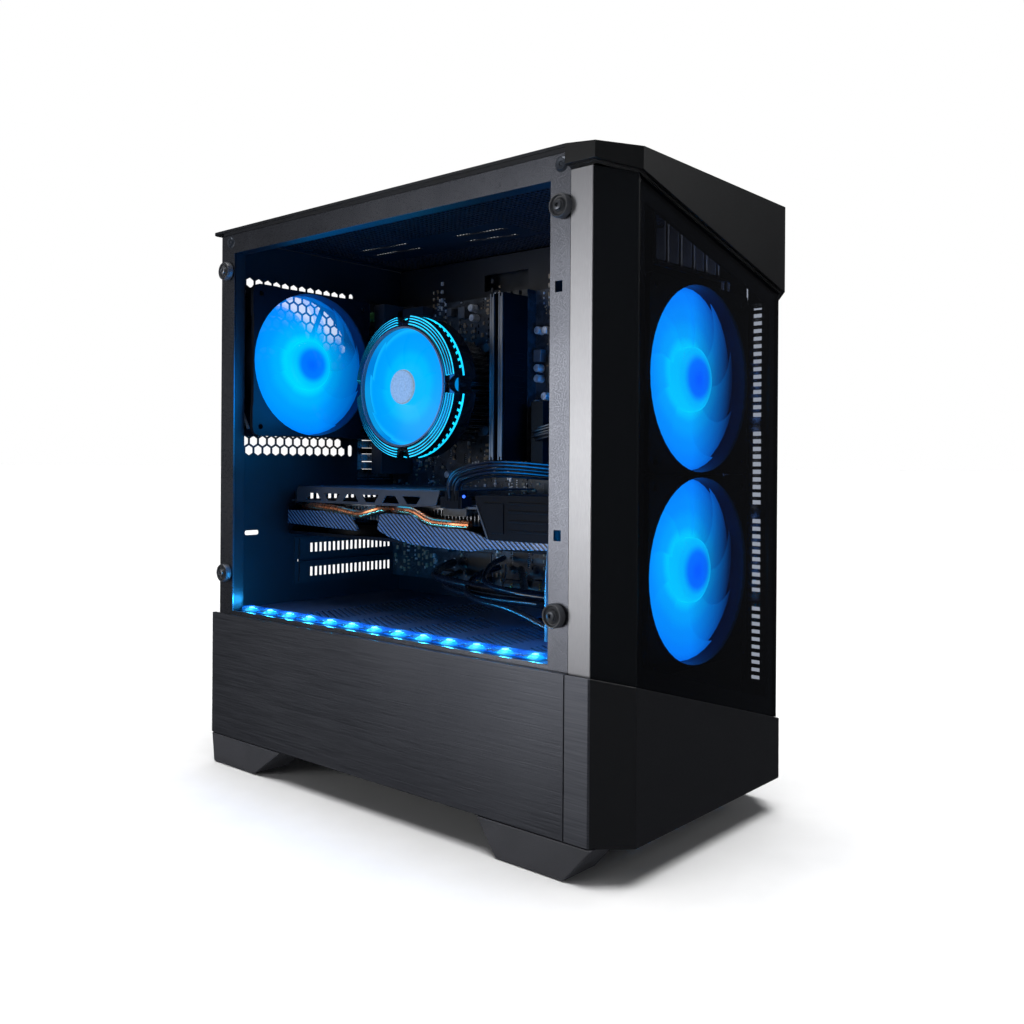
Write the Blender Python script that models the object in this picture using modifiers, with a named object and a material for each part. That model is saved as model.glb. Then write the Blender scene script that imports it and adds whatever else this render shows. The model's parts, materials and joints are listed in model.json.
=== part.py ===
"""Desktop computer tower, modelled as the separate pieces that it is assembled from.

Frame: +Z up, feet on Z = 0, the front bezel faces -Y and the open window side faces -X.
Sizes below are in millimetres, and every helper turns them into Blender's metres.
"""

import math

import bmesh
import bpy
from mathutils import Matrix, Vector

MM = 0.001
GAP = 0.3

# Overall sizes
FOOT_HEIGHT = 22.0
PLINTH_HALF = 105.0
CHASSIS_HALF = 101.4
CAP_HALF = 107.6
INNER_HALF = 100.2
CHASSIS_FRONT = -160.9
CHASSIS_REAR = 186.5
PLINTH_REAR = 191.4
PAN_BOTTOM = FOOT_HEIGHT + GAP
CHASSIS_TOP = 413.0
TOP_HEIGHT = 418.6
FILTER_REAR = 200.4
SHEET = 1.0

# Front bezel: half widths, where the corner chamfers start, and the front planes
BASE_CHAMFER_Y = -178.0
BASE_FRONT_Y = -198.0
BASE_FRONT_HALF = 86.8
FRAME_HALF = 101.4
FRAME_CHAMFER_Y = -176.3
FRAME_FRONT_Y = -196.4
FRAME_FRONT_HALF = 85.3
CAP_CHAMFER_Y = -182.5
CAP_FRONT_Y = -200.4
CAP_FRONT_HALF = 86.6
BEZEL_WALL = 2.5
BEZEL_BACK = -161.2
LOWER_SEAM_LEFT = 117.0
LOWER_SEAM_SLOPE = 0.28
UPPER_SEAM_LEFT = 404.2
UPPER_SEAM_SLOPE = 0.26
CAP_FRONT_TOP = 411.7
CAP_REAR_TOP = 416.0

# Window in the chassis side
WINDOW_FRONT = -146.4
WINDOW_REAR = 169.3
WINDOW_BOTTOM = 120.0
WINDOW_TOP = 398.6

# Fans
FAN_SIZE = 119.7
FAN_DEPTH = 25.0
FAN_DUCT_RADIUS = 57.0
FRONT_FAN_BACK = -160.7
FRONT_FAN_HEIGHTS = {"upper": 289.4, "lower": 169.4}
REAR_FAN = (-30.5, 316.3)
REAR_FAN_FRONT = 160.0

# Board and cards
TRAY_X = 88.6
BOARD_X = 80.0
BOARD_THICKNESS = 1.6
BOARD_Y = (-16.0, 184.2)
BOARD_Z = (133.0, 377.0)
COOLER_CENTRE = (88.0, 297.0)
COOLER_RADIUS = 57.5
MEMORY_Y = (26.5, 17.5)
MEMORY_Z = (238.0, 371.0)
MEMORY_EDGE_X = 40.0
SLOT_HEIGHTS = (204.0, 184.0, 163.2, 142.8)
CARD_FRONT = -100.0
CARD_REAR = 182.4

# Power supply
PSU_X = (-70.0, 80.0)
PSU_Y = (44.0, 184.6)
PSU_Z = (25.0, 111.0)
PSU_FAN_CENTRE = (5.0, 112.0)
PSU_FAN_RADIUS = 56.0

# Rear screws of the right side panel, and the rear wall's opening for the board's ports
PANEL_SCREW_X = 94.5
PANEL_SCREW_HEIGHTS = (72.0, 392.0)
PORT_OPENING = (38.0, 82.5, 221.0, 380.0)

# Air vents in the right wall of the bezel frame
VENT_PITCH = 5.4
VENT_HEIGHT = 3.0
VENT_Y = (-175.6, -168.0)
VENT_ROWS = ((84.0, 10), (146.0, 10), (208.0, 10), (270.0, 15))

# Shelf over the power supply
SHELF_Z = (117.6, 118.6)

ROUND = 24
SHARP_ANGLE = math.radians(35.0)


# ---------------------------------------------------------------- helpers

def clear_scene():
    for item in list(bpy.data.objects):
        bpy.data.objects.remove(item, do_unlink=True)


def make_collection(name):
    collection = bpy.data.collections.new(name)
    bpy.context.scene.collection.children.link(collection)
    return collection


clear_scene()
PARTS = make_collection("desktop_computer_tower")
CUTTERS = make_collection("cutters")


def look(name, colour, roughness, metallic=0.0, alpha=1.0):
    """One Principled material."""
    material = bpy.data.materials.new(name)
    material.use_nodes = True
    shader = material.node_tree.nodes["Principled BSDF"]
    shader.inputs["Base Color"].default_value = (*colour, 1.0)
    shader.inputs["Roughness"].default_value = roughness
    shader.inputs["Metallic"].default_value = metallic
    shader.inputs["Alpha"].default_value = alpha
    return material


def mesh_object(name, mesh, helper=False):
    obj = bpy.data.objects.new(name, mesh)
    if helper:
        CUTTERS.objects.link(obj)
        obj.hide_render = True
        obj.display_type = "WIRE"
    else:
        PARTS.objects.link(obj)
    return obj


def box_into(mesh_builder, low, high):
    """Add an axis-aligned box, from its low corner to its high corner, in millimetres."""
    low, high = Vector(low) * MM, Vector(high) * MM
    place = Matrix.Translation((low + high) / 2) @ Matrix.Diagonal((*(high - low), 1.0))
    bmesh.ops.create_cube(mesh_builder, size=1.0, matrix=place)


AXIS_TURN = {
    "x": Matrix.Rotation(math.radians(90), 4, "Y"),
    "y": Matrix.Rotation(math.radians(-90), 4, "X"),
    "z": Matrix.Identity(4),
}


def cylinder_into(mesh_builder, centre, axis, radius, length, sides=ROUND):
    """Add a cylinder about its centre, along one row axis, in millimetres."""
    place = Matrix.Translation(Vector(centre) * MM) @ AXIS_TURN[axis]
    bmesh.ops.create_cone(
        mesh_builder, cap_ends=True, segments=sides, radius1=radius * MM,
        radius2=radius * MM, depth=length * MM, matrix=place,
    )


def from_builder(name, fill, helper=False):
    """Make an object from a function that fills a bmesh."""
    builder = bmesh.new()
    fill(builder)
    mesh = bpy.data.meshes.new(name)
    builder.to_mesh(mesh)
    builder.free()
    return mesh_object(name, mesh, helper)


def boxes(name, corners, helper=False):
    """One object of axis-aligned boxes, each a pair of corners."""

    def fill(builder):
        for low, high in corners:
            box_into(builder, low, high)

    return from_builder(name, fill, helper)


def cylinders(name, rods, helper=False):
    """One object of cylinders, each (centre, axis, radius, length) and maybe sides."""

    def fill(builder):
        for rod in rods:
            cylinder_into(builder, *rod)

    return from_builder(name, fill, helper)


def prism(name, outline, axis, start, end, helper=False):
    """A flat outline pushed along one row axis.

    The outline's points are (x, y) for axis z, (x, z) for axis y and (y, z) for axis x.
    """
    curve = bpy.data.curves.new(name, "CURVE")
    curve.dimensions = "2D"
    curve.fill_mode = "BOTH"
    curve.extrude = abs(end - start) / 2 * MM
    spline = curve.splines.new("POLY")
    spline.points.add(len(outline) - 1)
    for point, place in zip(spline.points, outline):
        point.co = (place[0] * MM, place[1] * MM, 0.0, 1.0)
    spline.use_cyclic_u = True
    flat = bpy.data.objects.new(name + "_outline", curve)
    CUTTERS.objects.link(flat)
    turn = {
        "z": Matrix.Identity(4),
        "y": Matrix.Rotation(math.radians(90), 4, "X"),
        "x": Matrix(((0, 0, 1, 0), (1, 0, 0, 0), (0, 1, 0, 0), (0, 0, 0, 1))),
    }[axis]
    middle = (start + end) / 2 * MM
    shift = {"z": (0, 0, middle), "y": (0, middle, 0), "x": (middle, 0, 0)}[axis]
    flat.matrix_world = Matrix.Translation(shift) @ turn
    bpy.context.view_layer.update()
    graph = bpy.context.evaluated_depsgraph_get()
    mesh = bpy.data.meshes.new_from_object(flat.evaluated_get(graph))
    builder = bmesh.new()
    builder.from_mesh(mesh)
    bmesh.ops.remove_doubles(builder, verts=builder.verts, dist=1e-6)
    bmesh.ops.transform(builder, matrix=flat.matrix_world, verts=builder.verts)
    bmesh.ops.dissolve_limit(builder, angle_limit=0.001, verts=builder.verts, edges=builder.edges)
    bmesh.ops.recalc_face_normals(builder, faces=builder.faces)
    builder.to_mesh(mesh)
    builder.free()
    bpy.data.objects.remove(flat, do_unlink=True)
    mesh.name = name
    return mesh_object(name, mesh, helper)


def turned(name, profile, centre, axis, sides=ROUND):
    """A turned shape about one row axis: the profile is (radius, along) pairs, top to bottom."""
    mesh = bpy.data.meshes.new(name)
    points = [(radius * MM, 0.0, along * MM) for radius, along in profile]
    edges = [(index, index + 1) for index in range(len(points) - 1)]
    mesh.from_pydata(points, edges, [])
    obj = mesh_object(name, mesh)
    screw = obj.modifiers.new("turn", "SCREW")
    screw.steps = sides
    screw.render_steps = sides
    screw.use_merge_vertices = True
    screw.merge_threshold = 1e-6
    screw.use_smooth_shade = True
    obj.matrix_world = Matrix.Translation(Vector(centre) * MM) @ AXIS_TURN[axis]
    return obj


def join(target, extra):
    modifier = target.modifiers.new("join_" + extra.name, "BOOLEAN")
    modifier.operation = "UNION"
    modifier.object = extra


def cut(target, cutter):
    modifier = target.modifiers.new("cut_" + cutter.name, "BOOLEAN")
    modifier.operation = "DIFFERENCE"
    modifier.use_self = True
    modifier.object = cutter


def cut_boxes(target, corners):
    cut(target, boxes(target.name + "_cut_boxes", corners, helper=True))


def join_boxes(target, corners):
    for index, pair in enumerate(corners):
        join(target, boxes(f"{target.name}_block_{index}", [pair], helper=True))


def cut_rods(target, rods):
    cut(target, cylinders(target.name + "_cut_rods", rods, helper=True))


def join_rods(target, rods):
    for index, rod in enumerate(rods):
        join(target, cylinders(f"{target.name}_rod_{index}", [rod], helper=True))


def origin_to(obj, point):
    """Move an object's origin to a point without moving its shape."""
    target = Vector(point) * MM
    obj.data.transform(Matrix.Translation(-target))
    obj.matrix_world = Matrix.Translation(target)


def finish(obj, material, origin=None):
    """Give a piece its material, its shading and an origin: its own middle if none is given."""
    obj.data.materials.clear()
    obj.data.materials.append(material)
    if obj.type == "MESH" and obj.data.polygons:
        obj.data.shade_smooth()
        obj.data.set_sharp_from_angle(angle=SHARP_ANGLE)
    if obj.matrix_world == Matrix.Identity(4):
        corners = [Vector(corner) for corner in obj.bound_box]
        middle = sum(corners, Vector()) / len(corners) / MM
        origin_to(obj, middle if origin is None else origin)


def hang_on(name, point, nodes):
    """An empty on a moving group's axis or track, with the group's pieces as its children."""
    pivot = bpy.data.objects.new(name, None)
    PARTS.objects.link(pivot)
    pivot.location = Vector(point) * MM
    bpy.context.view_layer.update()
    for node in nodes:
        obj = bpy.data.objects[node]
        obj.parent = pivot
        obj.matrix_parent_inverse = pivot.matrix_world.inverted()


def smooth_route(points, per_span):
    """Points on a smooth curve through the given ones (Catmull-Rom)."""
    ends = [points[0], *points, points[-1]]
    route = []
    for index in range(len(points) - 1):
        a, b, c, d = (Vector(p) for p in ends[index:index + 4])
        for step in range(per_span):
            t = step / per_span
            route.append(
                0.5 * ((2 * b) + (c - a) * t + (2 * a - 5 * b + 4 * c - d) * t * t
                       + (3 * b - a - 3 * c + d) * t ** 3)
            )
    route.append(Vector(points[-1]))
    return route


def tube(name, points, radius, per_span=3):
    """A closed tube along a smooth route."""
    curve = bpy.data.curves.new(name, "CURVE")
    curve.dimensions = "3D"
    curve.bevel_depth = radius * MM
    curve.bevel_resolution = 2
    curve.use_fill_caps = True
    route = smooth_route(points, per_span)
    spline = curve.splines.new("POLY")
    spline.points.add(len(route) - 1)
    for point, place in zip(spline.points, route):
        point.co = (*(place * MM), 1.0)
    obj = bpy.data.objects.new(name, curve)
    PARTS.objects.link(obj)
    return obj


def lower_seam(x):
    return LOWER_SEAM_LEFT - LOWER_SEAM_SLOPE * (x + PLINTH_HALF)


def upper_seam(x):
    return UPPER_SEAM_LEFT - UPPER_SEAM_SLOPE * (x + CAP_HALF)


# ---------------------------------------------------------------- materials

BLACK_STEEL = look("black_steel", (0.045, 0.048, 0.056), 0.45, 0.6)
GREY_STEEL = look("grey_steel", (0.20, 0.205, 0.215), 0.4, 0.7)
BRUSHED_BLACK = look("brushed_black", (0.050, 0.054, 0.062), 0.35, 0.7)
BLACK_PLASTIC = look("black_plastic", (0.015, 0.016, 0.018), 0.4)
DARK_GLASS = look("dark_glass", (0.01, 0.012, 0.015), 0.03, 0.0, 0.35)
FAN_BLUE = look("fan_blue", (0.02, 0.30, 0.85), 0.35)
RUBBER = look("rubber", (0.02, 0.02, 0.02), 0.8)
STEEL = look("zinc_steel", (0.6, 0.6, 0.62), 0.3, 1.0)
ALUMINIUM = look("aluminium", (0.62, 0.63, 0.65), 0.35, 1.0)
COPPER = look("copper", (0.72, 0.36, 0.20), 0.28, 1.0)
BOARD_LAMINATE = look("board_laminate", (0.012, 0.014, 0.018), 0.5)
CARD_PLASTIC = look("card_plastic", (0.10, 0.11, 0.13), 0.35)
CARD_METAL = look("card_metal", (0.11, 0.115, 0.13), 0.4, 0.8)
WIRE_SLEEVE = look("wire_sleeve", (0.015, 0.016, 0.02), 0.6)
LIGHT_STRIP = look("light_strip", (0.30, 0.55, 0.85), 0.3)


# ---------------------------------------------------------------- chassis

def base_pan():
    pan = boxes("base_pan", [
        ((-INNER_HALF, -158.8, PAN_BOTTOM), (INNER_HALF, 185.0, PAN_BOTTOM + SHEET)),
    ])
    rail_low, rail_high = 18.0, PAN_BOTTOM + 0.5
    join_boxes(pan, [
        ((-INNER_HALF, -158.8, PAN_BOTTOM), (-INNER_HALF + SHEET, 185.0, 34.0)),
        ((INNER_HALF - SHEET, -158.8, PAN_BOTTOM), (INNER_HALF, 185.0, 34.0)),
        ((-63.0, 48.0, rail_low), (-60.5, 180.0, rail_high)),
        ((-60.6, 48.0, rail_low), (-57.5, 180.0, rail_low + 0.8)),
        ((70.5, 48.0, rail_low), (73.0, 180.0, rail_high)),
        ((67.5, 48.0, rail_low), (70.6, 180.0, rail_low + 0.8)),
    ])
    cut_rods(pan, [((*PSU_FAN_CENTRE, PAN_BOTTOM), "z", PSU_FAN_RADIUS, 10.0)])
    finish(pan, BLACK_STEEL)


def rear_panel():
    low_y, high_y = CHASSIS_REAR - SHEET, CHASSIS_REAR
    panel = boxes("rear_panel", [((-INNER_HALF, low_y, 24.0), (INNER_HALF, high_y, CHASSIS_TOP))])
    openings = [
        ((PSU_X[0] + 4, low_y - 5, PSU_Z[0] + 4), (PSU_X[1] - 4, high_y + 5, PSU_Z[1] - 4)),
        ((PORT_OPENING[0], low_y - 5, PORT_OPENING[2]), (PORT_OPENING[1], high_y + 5, PORT_OPENING[3])),
    ]
    for height in SLOT_HEIGHTS:
        openings.append(((-16.0, low_y - 5, height - 6.5), (78.0, high_y + 5, height + 6.5)))
    cut_boxes(panel, openings)
    fan_x, fan_z = REAR_FAN
    rods = [((fan_x, high_y, fan_z), "y", FAN_DUCT_RADIUS, 12.0)]
    for height in PANEL_SCREW_HEIGHTS:
        rods.append(((PANEL_SCREW_X, high_y, height), "y", 2.4, 12.0, 10))
    cut_rods(panel, rods)
    finish(panel, BLACK_STEEL)


def side_frame():
    low_x, high_x = -CHASSIS_HALF, -CHASSIS_HALF + SHEET
    frame = boxes("side_frame", [((low_x, CHASSIS_FRONT, 24.0), (high_x, CHASSIS_REAR, CHASSIS_TOP))])
    openings = [((low_x - 5, WINDOW_FRONT, WINDOW_BOTTOM), (high_x + 5, WINDOW_REAR, WINDOW_TOP))]
    for low_z, high_z in ((191.4, 197.7), (334.0, 340.5)):
        openings.append(((low_x - 5, WINDOW_FRONT - 9.0, low_z), (high_x + 5, WINDOW_FRONT - 3.6, high_z)))
    cut_boxes(frame, openings)
    finish(frame, GREY_STEEL)


def motherboard_tray():
    tray = boxes("motherboard_tray", [((TRAY_X, -158.8, 24.0), (TRAY_X + SHEET, 185.0, CHASSIS_TOP))])
    boss_places = [
        (175.0, 370.0), (175.0, 215.0), (175.0, 140.0), (20.0, 215.0),
        (20.0, 140.0), (-10.0, 370.0), (-10.0, 215.0), (-10.0, 140.0),
    ]
    boss_face = BOARD_X + BOARD_THICKNESS + GAP
    boss_length = TRAY_X + 0.5 - boss_face
    join_rods(tray, [
        ((boss_face + boss_length / 2, y, z), "x", 3.2, boss_length, 10) for y, z in boss_places
    ])
    cut_boxes(tray, [
        ((TRAY_X - 5, 44.0, 252.0), (TRAY_X + 5, 132.0, 342.0)),
        ((TRAY_X - 5, -96.0, 205.0), (TRAY_X + 5, -66.0, 300.0)),
        ((TRAY_X - 5, 30.0, 384.0), (TRAY_X + 5, 79.0, 398.0)),
        ((TRAY_X - 5, -60.0, 50.0), (TRAY_X + 5, 20.0, 100.0)),
    ])
    finish(tray, BLACK_STEEL)


def front_wall():
    low_y, high_y = -160.4, -159.4
    wall = boxes("front_wall", [((-INNER_HALF, low_y, 24.0), (INNER_HALF, high_y, CHASSIS_TOP))])
    cut_rods(wall, [
        ((0.0, low_y, height), "y", FAN_DUCT_RADIUS, 12.0) for height in FRONT_FAN_HEIGHTS.values()
    ])
    finish(wall, BLACK_STEEL)


def top_panel():
    low_z, high_z = CHASSIS_TOP + GAP, CAP_REAR_TOP
    panel = boxes("top_panel", [
        ((-CHASSIS_HALF, CHASSIS_FRONT + 1.0, low_z), (CHASSIS_HALF, CHASSIS_REAR, high_z)),
    ])
    skirt = 2.0
    cut_boxes(panel, [
        ((-CHASSIS_HALF + skirt, CHASSIS_FRONT + 1.0 + skirt, low_z - 5),
         (CHASSIS_HALF - skirt, CHASSIS_REAR - skirt, high_z - SHEET)),
    ])
    slots = []
    for start in (0.0, 100.0):
        for x in (20.0, 40.0):
            slots.append(((x - 3, start, CHASSIS_TOP - 5), (x + 3, start + 40.0, CHASSIS_TOP + 8)))
    cut(panel, boxes("top_panel_slots", slots, helper=True))
    finish(panel, BLACK_STEEL)


def psu_shroud():
    shroud = boxes("psu_shroud", [((-99.9, -158.8, SHELF_Z[0]), (TRAY_X - GAP, 184.9, SHELF_Z[1]))])
    cut_boxes(shroud, [
        ((56.0, -130.0, 110.0), (84.0, -70.0, 125.0)),
        ((20.0, -40.0, 110.0), (50.0, -20.0, 125.0)),
    ])
    finish(shroud, BLACK_STEEL)


def lower_side_cover():
    cover = boxes("lower_side_cover", [
        ((-PLINTH_HALF, -161.0, PAN_BOTTOM), (-CHASSIS_HALF - GAP, PLINTH_REAR, LOWER_SEAM_LEFT)),
    ])
    cut_boxes(cover, [((-PLINTH_HALF + 1.2, -158.0, 26.0), (-90.0, 188.0, 113.0))])
    finish(cover, BRUSHED_BLACK)


def light_strip():
    low_z = SHELF_Z[1] + GAP
    strip = boxes("led_strip", [((-95.0, -134.0, low_z), (-85.0, 166.0, low_z + 2.2))])
    for index in range(13):
        middle = 160.0 - index * 24.0
        chip = ((-92.8, middle - 2.6, low_z + 1.5), (-87.2, middle + 2.6, low_z + 4.4))
        join(strip, boxes(f"led_chip_{index}", [chip], helper=True))
    finish(strip, LIGHT_STRIP)


def feet():
    """Four feet, each an outline seen from the side, 32 mm wide."""
    front = [(-110.0, 0.0), (-94.3, FOOT_HEIGHT), (-181.0, FOOT_HEIGHT), (-161.0, 0.0)]
    rear = [(188.0, 0.0), (191.0, FOOT_HEIGHT), (102.5, FOOT_HEIGHT), (135.0, 0.0)]
    width = 31.0
    for where, outline in (("front", front), ("rear", rear)):
        left = prism(f"{where}_left_foot", outline, "x", -PLINTH_HALF, -PLINTH_HALF + width)
        right = prism(f"{where}_right_foot", outline, "x", PLINTH_HALF - width, PLINTH_HALF)
        for foot in (left, right):
            finish(foot, BLACK_PLASTIC)


def glass_posts():
    """Threaded posts with cup-shaped rubber seats that a side glass is screwed to."""
    places = {
        "front_upper": (-155.5, 382.4), "front_lower": (-152.5, 148.9),
        "rear_upper": (177.5, 384.9), "rear_lower": (177.5, 148.9),
    }
    face = -CHASSIS_HALF - GAP
    for where, (y, z) in places.items():
        profile = [
            (0.0, 0.0), (7.2, 0.0), (6.7, -4.6), (5.8, -4.6), (5.4, -3.0), (3.9, -3.0),
            (3.4, -5.8), (1.6, -5.8), (1.6, -3.2), (0.0, -3.2),
        ]
        finish(turned(f"glass_post_{where}", profile, (face, y, z), "x", 16), RUBBER)


# ---------------------------------------------------------------- panels and filters

def right_side_panel():
    panel = boxes("right_side_panel", [
        ((CHASSIS_HALF, CHASSIS_FRONT, PAN_BOTTOM + 1.7), (104.6, 188.0, CHASSIS_TOP)),
    ])
    cut_boxes(panel, [((95.0, -158.4, 28.0), (103.6, CHASSIS_REAR + 0.5, CHASSIS_TOP - 3.0))])
    join_boxes(panel, [
        ((89.0, CHASSIS_REAR + 0.5, 64.0), (104.0, 188.0, 80.0)),
        ((89.0, CHASSIS_REAR + 0.5, 384.0), (104.0, 188.0, 400.0)),
    ])
    cut_rods(panel, [
        ((PANEL_SCREW_X, 187.0, height), "y", 2.0, 12.0, 10) for height in PANEL_SCREW_HEIGHTS
    ])
    finish(panel, BLACK_STEEL)


def thumbscrews():
    for where, height in zip(("lower", "upper"), PANEL_SCREW_HEIGHTS):
        profile = [
            (0.0, 8.0), (4.4, 8.0), (4.9, 7.4), (4.9, 1.0), (4.4, GAP), (1.6, GAP), (1.6, -6.0), (0.0, -6.0),
        ]
        screw = turned(f"thumbscrew_{where}", profile, (PANEL_SCREW_X, 188.0, height), "y", 14)
        finish(screw, BLACK_STEEL)


def top_dust_filter():
    low_z = CAP_REAR_TOP + GAP
    sheet = boxes("top_dust_filter", [((-101.0, -159.9, low_z), (101.0, FILTER_REAR, TOP_HEIGHT))])
    cut_boxes(sheet, [((-92.0, -150.0, low_z + SHEET), (92.0, 178.0, TOP_HEIGHT + 5.0))])
    finish(sheet, BLACK_STEEL)


def psu_dust_filter():
    low_z = 19.1
    sheet = boxes("psu_dust_filter", [((-60.1, 52.0, low_z), (70.1, 187.0, low_z + 2.6))])
    cut_boxes(sheet, [((-52.0, 60.0, low_z + 1.0), (62.0, 176.0, low_z + 5.0))])
    join_boxes(sheet, [((-15.0, 186.0, low_z), (25.0, 190.0, low_z + 2.6))])
    finish(sheet, BLACK_PLASTIC)


# ---------------------------------------------------------------- front bezel

def bezel_outline(half, chamfer_y, front_half, front_y, back_y):
    return [
        (-half, back_y), (-half, chamfer_y), (-front_half, front_y),
        (front_half, front_y), (half, chamfer_y), (half, back_y),
    ]


def slanted_block(name, line, rise, low_z=None, high_z=None):
    """A wide cutter above or below a slanted seam, whose height follows x."""
    left, right = -130.0, 130.0
    if high_z is None:
        outline = [
            (left, low_z), (right, low_z), (right, line(right) + rise), (left, line(left) + rise),
        ]
    else:
        outline = [
            (left, line(left) + rise), (right, line(right) + rise), (right, high_z), (left, high_z),
        ]
    return prism(name, outline, "y", -230.0, -100.0, helper=True)


def bezel_base():
    back = BEZEL_BACK
    outer = bezel_outline(PLINTH_HALF, BASE_CHAMFER_Y, BASE_FRONT_HALF, BASE_FRONT_Y, back)
    inner = bezel_outline(
        PLINTH_HALF - BEZEL_WALL, BASE_CHAMFER_Y + 1.1, BASE_FRONT_HALF - 1.2,
        BASE_FRONT_Y + BEZEL_WALL, back + 20.0,
    )
    base = prism("bezel_base", outer, "z", PAN_BOTTOM, LOWER_SEAM_LEFT)
    cut(base, prism("bezel_base_hollow", inner, "z", PAN_BOTTOM + 3.0, 140.0, helper=True))
    cut(base, slanted_block("bezel_base_slant", lower_seam, 0.0, high_z=160.0))
    finish(base, BLACK_PLASTIC)


def bezel_frame():
    back = BEZEL_BACK
    outer = bezel_outline(FRAME_HALF, FRAME_CHAMFER_Y, FRAME_FRONT_HALF, FRAME_FRONT_Y, back)
    inner = bezel_outline(
        FRAME_HALF - BEZEL_WALL, FRAME_CHAMFER_Y + 1.1, FRAME_FRONT_HALF - 1.2,
        FRAME_FRONT_Y + 5.5, back + 20.0,
    )
    frame = prism("bezel_frame", outer, "z", 50.0, 410.0)
    cut(frame, prism("bezel_frame_hollow", inner, "z", 30.0, 430.0, helper=True))
    window = [
        (-76.0, lower_seam(-76.0) + 12.0), (76.0, lower_seam(76.0) + 12.0),
        (76.0, upper_seam(76.0) - 12.0), (-76.0, upper_seam(-76.0) - 12.0),
    ]
    cut(frame, prism("bezel_frame_window", window, "y", -220.0, -189.5, helper=True))
    cut_boxes(frame, [((-84.0, -210.0, 20.0), (84.0, FRAME_FRONT_Y + 3.3, 430.0))])
    cut(frame, slanted_block("bezel_frame_lower", lower_seam, GAP, low_z=0.0))
    cut(frame, slanted_block("bezel_frame_upper", upper_seam, -GAP, high_z=460.0))
    vents = []
    for bottom, count in VENT_ROWS:
        for index in range(count):
            low = bottom + index * VENT_PITCH
            high = low + VENT_HEIGHT
            vents.append(((FRAME_HALF - 6.0, VENT_Y[0], low), (FRAME_HALF + 4.0, VENT_Y[1], high)))
    cut(frame, boxes("bezel_frame_vents", vents, helper=True))
    finish(frame, GREY_STEEL)


def front_glass():
    half = 83.7
    outline = [
        (-half, lower_seam(-half) + 2 * GAP), (half, lower_seam(half) + 2 * GAP),
        (half, upper_seam(half) - 2 * GAP), (-half, upper_seam(-half) - 2 * GAP),
    ]
    finish(prism("front_glass", outline, "y", FRAME_FRONT_Y, FRAME_FRONT_Y + 3.0), DARK_GLASS)


POWER_BUTTON = (-58.0, -178.0)
RESET_BUTTON = (-38.0, -178.0)


def cap_top(y):
    share = (y - CAP_FRONT_Y) / (BEZEL_BACK - CAP_FRONT_Y)
    return CAP_FRONT_TOP + (CAP_REAR_TOP - CAP_FRONT_TOP) * share


def bezel_cap():
    back = BEZEL_BACK
    outer = bezel_outline(CAP_HALF, CAP_CHAMFER_Y, CAP_FRONT_HALF, CAP_FRONT_Y, back)
    inner = bezel_outline(
        CAP_HALF - BEZEL_WALL, CAP_CHAMFER_Y + 1.1, CAP_FRONT_HALF - 1.2,
        CAP_FRONT_Y + BEZEL_WALL, back + 20.0,
    )
    cap = prism("bezel_cap", outer, "z", 330.0, 430.0)
    cut(cap, prism("bezel_cap_hollow", inner, "z", 300.0, CAP_FRONT_TOP - 3.0, helper=True))
    slope = [
        (back + 10.0, cap_top(back + 10.0)), (-220.0, cap_top(-220.0)), (-220.0, 460.0), (back + 10.0, 460.0),
    ]
    cut(cap, prism("bezel_cap_slope", slope, "x", -140.0, 140.0, helper=True))
    cut(cap, slanted_block("bezel_cap_lower", upper_seam, 0.0, low_z=280.0))
    cut_rods(cap, [
        ((*POWER_BUTTON, 412.0), "z", 6.3, 20.0, 20), ((*RESET_BUTTON, 412.0), "z", 3.8, 20.0, 14),
        ((38.0, -178.0, 412.0), "z", 2.2, 20.0, 10), ((50.0, -178.0, 412.0), "z", 2.2, 20.0, 10),
    ])
    cut_boxes(cap, [
        ((x, -181.3, 400.0), (x + 13.6, -174.7, 425.0)) for x in (-24.0, -4.0, 16.0)
    ])
    finish(cap, BLACK_PLASTIC)


def front_ports():
    """The connector board below the cap: three sockets and two jacks stand up into its holes."""
    board = boxes("front_ports", [((-28.0, -190.0, 398.6), (62.0, -166.0, 400.2))])
    top = cap_top(-181.0) - 0.6
    join_boxes(board, [
        ((x + 0.3, -181.0, 400.0), (x + 13.3, -175.0, top)) for x in (-24.0, -4.0, 16.0)
    ])
    cut_boxes(board, [
        ((x + 1.2, -180.4, top - 8.0), (x + 12.4, -175.6, top + 3.0)) for x in (-24.0, -4.0, 16.0)
    ])
    finish(board, STEEL)


def bezel_button(name, place, radius):
    """A push button: its cap stands in the bezel's hole and its flange stays below it."""
    x, y = place
    top = cap_top(y) + 0.5
    under = CAP_FRONT_TOP - 3.0 - GAP
    profile = [
        (0.0, top), (radius - 0.6, top), (radius, top - 0.5), (radius, under),
        (radius + 1.4, under), (radius + 1.4, under - 1.6), (0.0, under - 1.6),
    ]
    button = turned(name, [(r, z - under) for r, z in profile], (x, y, under), "z", 16)
    finish(button, BLACK_PLASTIC)


# ---------------------------------------------------------------- fans

def fan_frame(name, centre, front_y):
    """A square frame round a round duct, with the motor seat on four struts at the back."""
    x, z = centre
    half = FAN_SIZE / 2
    back_y = front_y + FAN_DEPTH
    frame = boxes(name, [((x - half, front_y, z - half), (x + half, back_y, z + half))])
    cut_rods(frame, [((x, front_y + FAN_DEPTH / 2, z), "y", FAN_DUCT_RADIUS, FAN_DEPTH + 8, 32)])
    seat = 3.0
    join(frame, boxes(name + "_struts", [
        ((x - half + 2, back_y - seat, z - 1.5), (x + half - 2, back_y, z + 1.5)),
    ], helper=True))
    join(frame, boxes(name + "_struts_upright", [
        ((x - 1.5, back_y - seat, z - half + 2), (x + 1.5, back_y, z + half - 2)),
    ], helper=True))
    join_rods(frame, [((x, back_y - seat / 2, z), "y", 20.0, seat, 20)])
    finish(frame, BLACK_PLASTIC)


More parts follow.
